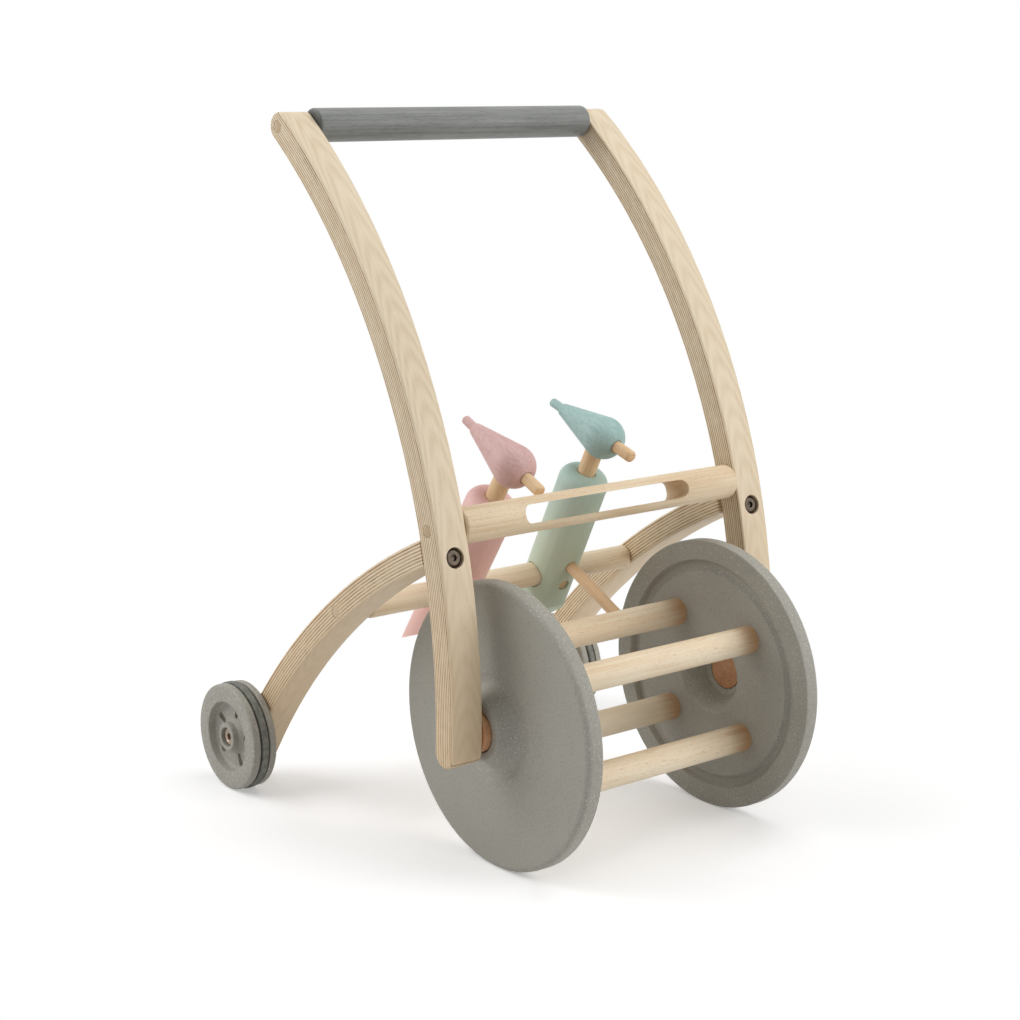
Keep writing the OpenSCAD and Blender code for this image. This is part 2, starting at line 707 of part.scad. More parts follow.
module pink_body() { color(pink) bird(-1, front_angle) bird_body(); }
module pink_neck() { color(beech) bird(-1, front_angle) bird_neck(); }
module pink_head() { color(pink) bird(-1, front_angle) bird_head(); }
module pink_beak() { color(beech) bird(-1, front_angle) bird_beak(); }
module pink_peg() { color(beech) bird(-1, front_angle) bird_peg(); }
module pink_pin() { color(beech) bird(-1, front_angle) bird_pin(); }
module mint_body() { color(mint) bird(1, back_angle) bird_body(); }
module mint_neck() { color(beech) bird(1, back_angle) bird_neck(); }
module mint_head() { color(mint) bird(1, back_angle) bird_head(); }
module mint_beak() { color(beech) bird(1, back_angle) bird_beak(); }
module mint_peg() { color(beech) bird(1, back_angle) bird_peg(); }
module mint_pin() { color(beech) bird(1, back_angle) bird_pin(); }

side_bar_left();
side_bar_right();
grip();
knock_bar();
rear_arm_left();
rear_arm_right();
bird_axle();
hub_stub_left();
hub_stub_right();
arm_bolt_left();
arm_bolt_right();
arm_insert_left();
arm_insert_right();
arm_dowel_left();
arm_dowel_right();
grip_screw_left();
grip_screw_right();
grip_plug_left();
grip_plug_right();
knock_screw_left();
knock_screw_right();
knock_plug_left();
knock_plug_right();
axle_screw_left();
axle_screw_right();
axle_plug_left();
axle_plug_right();
drum_wheel_left();
drum_wheel_right();
drum_rod_a();
drum_rod_b();
drum_rod_c();
drum_rod_d();
rear_bolt_left();
rear_bolt_right();
rear_insert_left();
rear_insert_right();
rear_washer_left();
rear_washer_right();
rear_wheel_left();
rear_wheel_right();
rear_ring_left();
rear_ring_right();
pink_body();
pink_neck();
pink_head();
pink_beak();
pink_peg();
pink_pin();
mint_body();
mint_neck();
mint_head();
mint_beak();
mint_peg();
mint_pin();
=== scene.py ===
"""Looks of a baby push walker, laid over its CAD frame.

Every visible piece is a mesh of its own with soft edges, built in the row frame, and
rides the body of the CAD node that it stands for. Sizes follow the part's source and
are in mm; meshes are scaled to metres when they are finished.
"""

import logging
import math
from dataclasses import dataclass, field
from enum import Enum
from typing import Sequence

import bmesh
import bpy
import numpy as np
from mathutils import Matrix, Vector


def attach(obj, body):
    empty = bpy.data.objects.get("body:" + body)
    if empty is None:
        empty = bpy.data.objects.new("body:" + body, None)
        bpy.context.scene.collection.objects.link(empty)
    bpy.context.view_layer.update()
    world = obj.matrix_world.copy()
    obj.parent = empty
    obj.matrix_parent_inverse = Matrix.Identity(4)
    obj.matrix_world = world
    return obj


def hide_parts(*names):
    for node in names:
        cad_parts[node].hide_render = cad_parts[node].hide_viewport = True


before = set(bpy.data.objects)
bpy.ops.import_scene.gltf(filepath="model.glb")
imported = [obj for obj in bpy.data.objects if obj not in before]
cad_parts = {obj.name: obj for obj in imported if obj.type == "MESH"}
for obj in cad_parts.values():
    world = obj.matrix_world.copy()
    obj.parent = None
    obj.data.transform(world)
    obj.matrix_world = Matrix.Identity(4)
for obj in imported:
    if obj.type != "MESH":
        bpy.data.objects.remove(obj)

LOG = logging.getLogger("walker")
MM = 0.001
IMAGE_SIZE = 1020
Point = tuple[float, float]
Corner = tuple[float, float, float]
Colour = tuple[float, float, float]
Place = tuple[float, float, float]


class Side(Enum):
    """A side of the walker, with the sign of its X."""

    LEFT = 1
    RIGHT = -1

    @property
    def word(self) -> str:
        """Name of the side as it stands in node names."""
        return self.name.lower()


class Slot(Enum):
    """Material slots that the finishes carry."""

    PLY = "birch_ply"
    BEECH = "beech"
    BROWN = "brown_beech"
    GREY = "grey_stain"
    PINK = "pink_stain"
    MINT = "mint_stain"
    COMPOSITE = "composite"
    RUBBER = "rubber_ring"
    BRONZE = "bronze_bolt"
    STEEL = "steel"
    BRASS = "insert_brass"


def srgb(red: int, green: int, blue: int) -> Colour:
    """Linear colour from 8-bit values.

    Args:
        red: Red, 0 to 255.
        green: Green, 0 to 255.
        blue: Blue, 0 to 255.

    Returns:
        The linear colour.
    """
    parts = [v / 255 for v in (red, green, blue)]
    low, mid, high = (c / 12.92 if c <= 0.04045 else ((c + 0.055) / 1.055) ** 2.4 for c in parts)
    return low, mid, high


def shade(colour: Colour, factor: float) -> Colour:
    """Makes a colour darker or paler.

    Args:
        colour: The colour.
        factor: What its parts are multiplied by.

    Returns:
        The new colour.
    """
    red, green, blue = (min(1.0, c * factor) for c in colour)
    return red, green, blue


@dataclass(frozen=True)
class Arc:
    """A bend in the plane of Y and Z; angles count up from the front."""

    y: float
    z: float
    radius: float
    depth: float

    @property
    def outer(self) -> float:
        """Radius of the outer face."""
        return self.radius + self.depth / 2

    def at(self, angle: float, out: float = 0.0) -> Point:
        """Point on the bend or beside it.

        Args:
            angle: Angle up from the front, in degrees.
            out: Distance from the middle line, away from the centre.

        Returns:
            The point's Y and Z.
        """
        a, r = math.radians(angle), self.radius + out
        return self.y - r * math.cos(a), self.z + r * math.sin(a)

    def angle_of(self, point: Point) -> float:
        """Angle of a point.

        Args:
            point: Its Y and Z.

        Returns:
            The angle up from the front, in degrees.
        """
        return math.degrees(math.atan2(point[1] - self.z, self.y - point[0]))


@dataclass(frozen=True)
class Layout:
    """Places that the sub-assemblies share; Y counts from the middle of the length."""

    shift: float = 88.95
    bar_in: float = 118.6
    bar_out: float = 142.2
    bar_top: float = 52.4
    bar_foot: float = -1.992
    knock_angle: float = 15.5
    bolt_angle: float = 13.2
    arm_angle: float = 13.87
    arm_in: float = 116.4
    arm_radius: float = 529.7
    arm_depth: float = 16.8
    drum_r: float = 95.0
    rear_y: float = 233.9
    rear_r: float = 39.0
    stub_end: float = 106.4
    axle_r: float = 8.75
    axle_y: float = 119.9
    axle_drop: float = 0.9
    grip_out: float = 3.7
    grip_below: float = 3.8

    @property
    def bend(self) -> Arc:
        """Bend of the side bars."""
        return Arc(466.9 - self.shift, 101.8, 468.9, 18.8)

    @property
    def drum_axle(self) -> Point:
        """Axle of the drum."""
        return -self.shift, self.drum_r

    @property
    def rear_axle(self) -> Point:
        """Axle of the rear wheels."""
        return self.rear_y - self.shift, self.rear_r

    @property
    def arm(self) -> Arc:
        """Bend of the rear arms, through the rear axle and the joint on the bar."""
        low = np.array(self.rear_axle)
        top = np.array(self.bend.at(self.arm_angle, -self.bend.depth / 2))
        chord = float(np.linalg.norm(low - top))
        up = np.array([top[1] - low[1], low[0] - top[0]]) / chord
        centre = (low + top) / 2 - math.sqrt(self.arm_radius**2 - chord**2 / 4) * up
        return Arc(float(centre[0]), float(centre[1]), self.arm_radius, self.arm_depth)

    @property
    def top_end(self) -> Point:
        """Centre of the bars' round top ends."""
        return self.bend.at(self.bar_top)

    @property
    def grip(self) -> Point:
        """Axis of the grip, in front of the bars' middle line and just below their top ends."""
        y, z = self.bend.at(self.bar_top, self.grip_out)
        a = math.radians(self.bar_top)
        return y - self.grip_below * math.sin(a), z - self.grip_below * math.cos(a)

    @property
    def knock(self) -> Point:
        """Axis of the knock bar."""
        return self.bend.at(self.knock_angle)

    @property
    def pivot(self) -> Point:
        """Axis of the birds' axle."""
        arm, y = self.arm, self.axle_y - self.shift
        return y, arm.z + math.sqrt((arm.radius - self.axle_drop) ** 2 - (y - arm.y) ** 2)


LAYOUT = Layout()
TO_X = Matrix(((0, 0, 1, 0), (1, 0, 0, 0), (0, 1, 0, 0), (0, 0, 0, 1)))
FORWARD = Matrix.Rotation(math.radians(90), 4, "X")
BACK = Matrix.Rotation(math.pi, 4, "X")
# how far a drill starts outside the wood
PAST = 3.0


def across(at: Point, side: Side = Side.LEFT) -> Matrix:
    """Frame on a cross axis with +Z outward along X.

    Args:
        at: Y and Z of the axis.
        side: Side of the walker that +Z points to.

    Returns:
        The frame.
    """
    turn = Matrix.Rotation(0 if side is Side.LEFT else math.pi, 4, "Y")
    return Matrix.Translation((0, at[0], at[1])) @ turn @ TO_X


def into_bar(angle: float, x: float) -> Matrix:
    """Frame on a side bar's front face with +Z into the wood.

    Args:
        angle: Angle on the bar's bend, in degrees.
        x: Place across the walker.

    Returns:
        The frame.
    """
    y, z = LAYOUT.bend.at(angle, LAYOUT.bend.depth / 2)
    return Matrix.Translation((x, y, z)) @ Matrix.Rotation(math.radians(-90 - angle), 4, "X")


def rounded(corners: Sequence[Corner], closed: bool = False, steps: int = 5) -> list[Point]:
    """Rounds the corners of a line.

    Args:
        corners: Points as (first, second, rounding).
        closed: True if the line returns to its start.
        steps: Pieces in each rounding.

    Returns:
        The points of the rounded line.
    """
    out: list[Point] = []
    n = len(corners)
    for i, (r, h, size) in enumerate(corners):
        here = np.array([r, h])
        if size <= 0 or (not closed and i in (0, n - 1)):
            out.append((r, h))
            continue
        before = np.array(corners[i - 1][:2]) - here
        after = np.array(corners[(i + 1) % n][:2]) - here
        lb, la = np.linalg.norm(before), np.linalg.norm(after)
        half = math.acos(float(np.clip(before @ after / (lb * la), -1, 1))) / 2
        reach = min(size / math.tan(half), 0.48 * lb, 0.48 * la)
        radius = reach * math.tan(half)
        middle = before / lb + after / la
        centre = here + middle / np.linalg.norm(middle) * (radius / math.sin(half))
        a, b = here + before / lb * reach - centre, here + after / la * reach - centre
        sweep = math.acos(float(np.clip(a @ b / (radius * radius), -1, 1)))
        for k in range(steps + 1):
            t = k / steps
            p = centre + (math.sin((1 - t) * sweep) * a + math.sin(t * sweep) * b) / math.sin(sweep)
            out.append((float(p[0]), float(p[1])))
    return out


class Sock:
    """A value, colour or vector in a shader; numbers may be added, taken and multiplied."""

    def __init__(self, graph: "Graph", out: bpy.types.NodeSocket) -> None:
        """Wraps an output socket.

        Args:
            graph: The shader that it is in.
            out: The output socket.
        """
        self.graph = graph
        self.out = out

    def math(self, operation: str, *others: "Sock | float") -> "Sock":
        """Applies a math node to this value and others.

        Args:
            operation: The node's operation.
            others: Second and third operands.

        Returns:
            The result.
        """
        operands = dict(enumerate((self, *others)))
        return self.graph.value("ShaderNodeMath", {"operation": operation}, operands)

    def __add__(self, other: "Sock | float") -> "Sock":
        """Sum."""
        return self.math("ADD", other)

    def __radd__(self, other: float) -> "Sock":
        """Sum with a number in front."""
        return self.math("ADD", other)

    def __sub__(self, other: "Sock | float") -> "Sock":
        """Difference."""
        return self.math("SUBTRACT", other)

    def __rsub__(self, other: float) -> "Sock":
        """Difference from a number."""
        return self.math("MULTIPLY_ADD", -1.0, other)

    def __mul__(self, other: "Sock | float") -> "Sock":
        """Product."""
        return self.math("MULTIPLY", other)

    def __rmul__(self, other: float) -> "Sock":
        """Product with a number in front."""
        return self.math("MULTIPLY", other)

    def __neg__(self) -> "Sock":
        """Negative."""
        return self.math("MULTIPLY", -1.0)

    def step(self, low: float, high: float) -> "Sock":
        """Smooth step.

        Args:
            low: Value that gives 0.
            high: Value that gives 1.

        Returns:
            The result, between 0 and 1.
        """
        return self.graph.value(
            "ShaderNodeMapRange",
            {"interpolation_type": "SMOOTHSTEP"},
            {"Value": self, "From Min": low, "From Max": high},
        )

    def spread(self, low: float, high: float) -> "Sock":
        """Maps 0..1 to low..high.

        Args:
            low: Result for 0.
            high: Result for 1.

        Returns:
            The result.
        """
        return self * (high - low) + low

    def parts(self) -> "tuple[Sock, Sock, Sock]":
        """Parts of a vector."""
        node = self.graph.node("ShaderNodeSeparateXYZ", {}, {0: self})
        x, y, z = (Sock(self.graph, node.outputs[k]) for k in range(3))
        return x, y, z

    def scaled(self, x: float, y: float, z: float) -> "Sock":
        """Scales the parts of a vector.

        Args:
            x: Scale of X.
            y: Scale of Y.
            z: Scale of Z.

        Returns:
            The scaled vector.
        """
        return self.graph.value("ShaderNodeVectorMath", {"operation": "MULTIPLY"}, {0: self, 1: (x, y, z)})


class Graph:
    """Builder of one node tree."""

    def __init__(self, tree: bpy.types.NodeTree) -> None:
        """Starts on a tree.

        Args:
            tree: The node tree.
        """
        self.tree = tree

    def node(
        self,
        kind: str,
        settings: "dict[str, object]",
        sockets: "dict[int | str, Sock | float | tuple[float, ...]]",
    ) -> bpy.types.Node:
        """Adds a node.

        Args:
            kind: The node's type.
            settings: The node's own settings, which are set first.
            sockets: Values or links of its inputs.

        Returns:
            The node.
        """
        made = self.tree.nodes.new(kind)
        for name, setting in settings.items():
            setattr(made, name, setting)
        for key, source in sockets.items():
            if isinstance(source, Sock):
                self.tree.links.new(source.out, made.inputs[key])
            else:
                made.inputs[key].default_value = source
        return made

    def value(
        self,
        kind: str,
        settings: "dict[str, object]",
        sockets: "dict[int | str, Sock | float | tuple[float, ...]]",
        output: "int | str" = 0,
    ) -> Sock:
        """Adds a node and takes one of its outputs.

        Args:
            kind: The node's type.
            settings: The node's own settings.
            sockets: Values or links of its inputs.
            output: The output.

        Returns:
            The output.
        """
        return Sock(self, self.node(kind, settings, sockets).outputs[output])

    def place(self) -> Sock:
        """Object coordinates, in metres."""
        return self.value("ShaderNodeTexCoord", {}, {}, "Object")

    def grain(self) -> Sock:
        """The piece's own grain coordinates, in metres, with X along the grain."""
        return self.value("ShaderNodeAttribute", {"attribute_name": "grain"}, {}, "Vector")

    def join(self, *parts: "Sock | float") -> Sock:
        """Vector from three parts.

        Args:
            parts: X, Y and Z.

        Returns:
            The vector.
        """
        return self.value("ShaderNodeCombineXYZ", {}, dict(enumerate(parts)))

    def noise(self, at: Sock, detail: float = 2.0, rough: float = 0.5, warp: float = 0.0) -> Sock:
        """Noise of scale 1.

        Args:
            at: Where to sample.
            detail: Octaves.
            rough: Roughness of the octaves.
            warp: Distortion.

        Returns:
            The value, about 0.3 to 0.7.
        """
        return self.value(
            "ShaderNodeTexNoise",
            {},
            {"Vector": at, "Scale": 1.0, "Detail": detail, "Roughness": rough, "Distortion": warp},
        )

    def cells(self, at: Sock, output: str = "Distance") -> Sock:
        """Cells of scale 1.

        Args:
            at: Where to sample.
            output: Distance, or Color for a random value in each cell.

        Returns:
            The value.
        """
        return self.value("ShaderNodeTexVoronoi", {}, {"Vector": at, "Scale": 1.0}, output)

    def mix(self, low: "Sock | Colour", high: "Sock | Colour", share: Sock) -> Sock:
        """Mixes two colours.

        Args:
            low: Colour at share 0.
            high: Colour at share 1.
            share: The share.

        Returns:
            The mixed colour.
        """
        low, high = (c if isinstance(c, Sock) else (*c, 1.0) for c in (low, high))
        return self.value("ShaderNodeMix", {"data_type": "RGBA"}, {0: share, 6: low, 7: high}, 2)


class Surface(Graph):
    """A material with one Principled shader."""

    def __init__(self, name: str, roughness: float, metallic: float = 0.0, specular: float = 0.4) -> None:
        """Starts the material.

        Args:
            name: Its name.
            roughness: Roughness of the surface.
            metallic: Metallic share.
            specular: Specular level.
        """
        self.material = bpy.data.materials.new(name)
        self.material.use_nodes = True
        super().__init__(self.material.node_tree)
        self.shader = self.tree.nodes["Principled BSDF"]
        self.shader.inputs["Roughness"].default_value = roughness
        self.shader.inputs["Metallic"].default_value = metallic
        self.shader.inputs["Specular IOR Level"].default_value = specular

    def dress(
        self, colour: Sock, roughness: "Sock | None" = None, relief: "Sock | None" = None, depth: float = 0.05
    ) -> bpy.types.Material:
        """Links colour, roughness and relief.

        Args:
            colour: The base colour.
            roughness: The roughness, if it varies.
            relief: Height of the relief, 0 to 1.
            depth: Depth of the relief, in mm.

        Returns:
            The material.
        """
        self.tree.links.new(colour.out, self.shader.inputs["Base Color"])
        if roughness is not None:
            self.tree.links.new(roughness.out, self.shader.inputs["Roughness"])
        if relief is not None:
            sockets = {"Strength": 1.0, "Distance": depth * MM, "Height": relief}
            bump = self.node("ShaderNodeBump", {}, sockets)
            self.tree.links.new(bump.outputs[0], self.shader.inputs["Normal"])
        return self.material


@dataclass(frozen=True)
class Finish:
    """A finish: its name and its material slot."""

    name: str
    slot: Slot

    def build(self) -> bpy.types.Material:
        """Makes the material."""
        raise NotImplementedError

    @property
    def material(self) -> bpy.types.Material:
        """The finish's material, made on first use."""
        return bpy.data.materials.get(self.name) or self.build()


@dataclass(frozen=True)
class Beech(Finish):
    """Lacquered beech with streaks, soft rings and short dark flecks; rods get painted shade and warm bounce
    light towards their ends near the wheels.
    """

    light: Colour = srgb(242, 224, 194)
    dark: Colour = srgb(222, 192, 152)
    fleck: Colour = srgb(176, 134, 94)
    # share of the painted shade and warm bounce light at the rods' ends
    painted_end_shade: float = 0.0

    def build(self) -> bpy.types.Material:
        """Makes the material."""
        s = Surface(self.name, 0.5)
        g = s.grain()
        _, y, z = g.parts()
        broad = s.noise(g.scaled(7, 60, 60), 2, 0.5, 0.3)
        streak = s.noise(g.scaled(16, 560, 560), 3, 0.6)
        wander = s.noise(g.scaled(9, 40, 40), 2)
        ring = ((y * y + z * z).math("SQRT") * 2600 + wander * 16).math("SINE")
        fine = s.noise(g.scaled(240, 2300, 2300), 1, 0.5)
        flecks = fine.step(0.64, 0.72) * wander.step(0.3, 0.6)
        x, _, _ = s.place().parts()
        # painted shade and warm bounce light: the rods turn darker and orange towards their ends near the
        # wheels
        ends = (x.math("ABSOLUTE") + streak * 0.012).step(0.074, 0.097)
        share = (broad - 0.5) * 1.1 + (streak - 0.5) * 1.3 + ring * 0.08 + 0.4
        wood = s.mix(self.light, self.dark, share.step(0.0, 1.0))
        wood = s.mix(wood, self.fleck, flecks * 0.55)
        wood = s.mix(wood, srgb(186, 134, 82), ends * self.painted_end_shade)
        return s.dress(wood, broad.spread(0.38, 0.54), streak * 0.6 - flecks * 0.4, 0.05)


@dataclass(frozen=True)
class Stain(Finish):
    """Stained wood with its grain showing through; a warmer colour towards its foot is painted warm bounce
    light, and its ends at the side bars get painted shade.
    """

    light: Colour = srgb(130, 132, 129)
    dark: Colour = srgb(96, 98, 95)
    grain: float = 0.5
    rough: float = 0.5
    # colour and share of the painted warm bounce light towards the foot
    bounce_colour: Colour = srgb(130, 132, 129)
    fade: float = 0.0

    def build(self) -> bpy.types.Material:
        """Makes the material."""
        s = Surface(self.name, self.rough)
        g = s.grain()
        cloud = s.noise(g.scaled(14, 90, 90), 3, 0.6)
        streak = s.noise(g.scaled(14, 700, 700), 3, 0.65)
        pore = s.noise(g.scaled(150, 2400, 2400), 1)
        speck = s.cells(g.scaled(700, 1100, 1100)).step(0.3, 0.08)
        share = (cloud - 0.5) * 0.8 + (streak - 0.5) * (2.6 * self.grain)
        share = share + pore.step(0.56, 0.72) * (0.7 * self.grain) + 0.4
        x, _, z = s.place().parts()
        # painted shade: the ends that meet the side bars, such as the grip's, turn dark
        ends = x.math("ABSOLUTE").step(0.1166, 0.1182)
        wood = s.mix(self.light, self.dark, share.step(0.0, 1.0))
        # painted warm bounce light: warmer colour towards the foot
        wood = s.mix(wood, self.bounce_colour, z.step(0.27, 0.17) * self.fade)
        wood = s.mix(wood, shade(self.dark, 0.35), ends * 0.8)
        wood = s.mix(wood, shade(self.light, 1.3), speck * cloud.step(0.4, 0.58) * 0.45)
        return s.dress(wood, cloud.spread(self.rough - 0.06, self.rough + 0.06), streak * 0.7 + pore * 0.3)


@dataclass(frozen=True)
class BirchPly(Finish):
    """Bent birch plywood: long-grain faces, and crossed layers with dark glue lines inside."""

    arc: Arc = LAYOUT.bend
    plies: int = 10

    def build(self) -> bpy.types.Material:
        """Makes the material."""
        arc, plies = self.arc, self.plies
        s = Surface(self.name, 0.5)
        x, y, z = s.place().parts()
        dy, dz = y - arc.y * MM, z - arc.z * MM
        radius = (dy * dy + dz * dz).math("SQRT")
        run = dz.math("ARCTAN2", -dy) * (arc.radius * MM)
        depth = (arc.outer * MM - radius) * (plies / (arc.depth * MM))
        sway = s.noise(s.join(run * 9, x * 14, 2.0), 2)
        layer = (depth + (sway - 0.5) * 0.1).math("MAXIMUM", 0.02).math("MINIMUM", plies - 0.02)
        index, inside = layer.math("FLOOR"), layer.math("FRACT")
        inner = layer.step(0.4, 0.7) * (1.0 - layer.step(plies - 0.7, plies - 0.4))
        glue = (inside - 0.5).math("ABSOLUTE").step(0.26, 0.46) * inner
        crossed = (index * 0.5).math("FRACT").step(0.2, 0.3)
        tone = s.noise(s.join(index * 7.31, 3.3, run * 3), 0)
        streak = s.noise(s.join(run * 10, x * 430, index * 5.7 + inside * 1.6), 3, 0.6)
        broad = s.noise(s.join(run * 5, x * 40, index * 3.1), 2, 0.5, 0.4)
        wave = s.noise(s.join(run * 4.2, x * 16, index * 2.3), 1, 0.4)
        aside = x.math("ABSOLUTE") - (LAYOUT.bar_in + LAYOUT.bar_out) / 2 * MM
        figure = ((aside * aside * 14000 + run * 45 + wave * 7) * 6.28).math("SINE") * (1.0 - inner * 0.7)
        ends = s.noise(s.join(run * 900, layer * 3.0, x * 900), 2, 0.6)
        ticks = s.noise(s.join(run * 150, x * 1700, index * 9.1 + inside * 6), 1).step(0.66, 0.76)
        breaks = s.noise(s.join(run * 120, index * 4.4, x * 60), 1).step(0.3, 0.62)
        gap = s.noise(s.join(run * 22, index * 6.7, x * 20), 0).step(0.76, 0.8) * glue
        first = (1.0 - (layer - 1.0).math("ABSOLUTE").step(0.08, 0.34)) * breaks.spread(0.2, 0.75)
        share = (streak - 0.5) * 0.7 + (broad - 0.5) * 0.5 + (tone - 0.5) * 0.5 * inner
        share = share + figure * 0.13 + 0.3
        share = share + crossed * inner * ((ends - 0.5) * 0.4 + 0.12)
        wood = s.mix(srgb(237, 221, 193), srgb(212, 187, 149), share.step(0.0, 1.0))
        # painted warm bounce light: the bars turn warmer towards their feet
        wood = s.mix(wood, srgb(232, 200, 158), z.step(0.3, 0.06) * 0.5)
        wood = s.mix(wood, srgb(186, 154, 120), ticks * 0.35)
        wood = s.mix(wood, srgb(126, 88, 50), glue * breaks.spread(0.5, 0.95))
        wood = s.mix(wood, srgb(140, 94, 50), first)
        wood = s.mix(wood, srgb(58, 40, 26), gap)
        return s.dress(wood, broad.spread(0.42, 0.56), streak * 0.5 - glue * 0.6 - gap, 0.06)


@dataclass(frozen=True)
class Composite(Finish):
    """Pressed wood-fibre composite with pale and dark specks."""

    base: Colour = srgb(170, 167, 157)

    def build(self) -> bpy.types.Material:
        """Makes the material."""
        s = Surface(self.name, 0.58)
        p = s.place()
        cloud = s.noise(p.scaled(45, 45, 45), 3, 0.6)
        fine = s.noise(p.scaled(1150, 1150, 1150), 3, 0.75)
        small = p.scaled(950, 950, 950)
        pick, _, other = s.cells(small, "Color").parts()
        near = s.cells(small).step(0.5, 0.15)
        body = s.mix(shade(self.base, 0.93), shade(self.base, 1.07), cloud)
        body = s.mix(body, shade(self.base, 0.5), fine.step(0.44, 0.7) * 0.5)
        body = s.mix(body, shade(self.base, 2.0), pick.step(0.84, 0.92) * near * 0.8)
        body = s.mix(body, shade(self.base, 0.35), other.step(0.84, 0.94) * near * 0.6)
        return s.dress(body, cloud.spread(0.5, 0.64), fine * 0.6 + near * 0.2, 0.08)


@dataclass(frozen=True)
class Rubber(Finish):
    """Dark grey rubber with a faint dust."""

    base: Colour = srgb(124, 125, 118)

    def build(self) -> bpy.types.Material:
        """Makes the material."""
        s = Surface(self.name, 0.7)
        dust = s.noise(s.place().scaled(240, 240, 240), 3, 0.6)
        body = s.mix(shade(self.base, 0.8), shade(self.base, 1.25), dust.step(0.35, 0.7))
        return s.dress(body, dust.spread(0.6, 0.8))


@dataclass(frozen=True)
class Plated(Finish):
    """Plated metal with fine wear."""

    base: Colour = srgb(178, 160, 142)
    rough: float = 0.34

    def build(self) -> bpy.types.Material:
        """Makes the material."""
        s = Surface(self.name, self.rough, 1.0)
        wear = s.noise(s.place().scaled(700, 700, 700), 3, 0.6)
        body = s.mix(self.base, shade(self.base, 0.7), wear.step(0.3, 0.7))
        return s.dress(body, wear.spread(self.rough - 0.08, self.rough + 0.12))


PLY_BAR = BirchPly("birch_ply_bar", Slot.PLY, LAYOUT.bend)
PLY_ARM = BirchPly("birch_ply_arm", Slot.PLY, LAYOUT.arm, 8)
BEECH = Beech("beech_plain", Slot.BEECH)
ROD = Beech("beech_rod", Slot.BEECH, srgb(251, 237, 211), srgb(239, 212, 175), srgb(194, 150, 108), 0.8)
WARM = Beech("beech_warm", Slot.BEECH, srgb(238, 207, 165), srgb(216, 177, 133), srgb(168, 124, 86))
PLUG = Beech("beech_plug", Slot.BEECH, srgb(212, 190, 158), srgb(190, 164, 130), srgb(160, 128, 96))
BROWN = Beech("beech_brown", Slot.BROWN, srgb(208, 158, 118), srgb(176, 122, 84), srgb(120, 80, 50))
GREY = Stain("grip_grey", Slot.GREY, srgb(140, 142, 139), srgb(104, 106, 103), 0.6, 0.42)
PINK_STAIN = Stain("bird_pink", Slot.PINK, srgb(226, 191, 188), srgb(202, 158, 153), 0.4, 0.55)
ROSE_STAIN = Stain(
    "bird_rose", Slot.PINK, srgb(237, 201, 199), srgb(218, 171, 168), 0.4, 0.55, srgb(242, 194, 182), 0.8
)
MINT_STAIN = Stain(
    "bird_mint", Slot.MINT, srgb(186, 214, 209), srgb(156, 191, 185), 0.45, 0.55, srgb(207, 218, 193), 0.85
)
TEAL_STAIN = Stain("bird_teal", Slot.MINT, srgb(178, 206, 202), srgb(142, 176, 172), 0.5, 0.55)
STONE = Composite("wheel_composite", Slot.COMPOSITE)
TYRE = Rubber("wheel_rubber", Slot.RUBBER)
BRONZE = Plated("bolt_bronze", Slot.BRONZE, srgb(82, 73, 64), 0.34)
STEEL = Plated("bolt_steel", Slot.STEEL, srgb(178, 160, 142), 0.3)
BRASS = Plated("insert_brass", Slot.BRASS, srgb(190, 160, 100), 0.35)


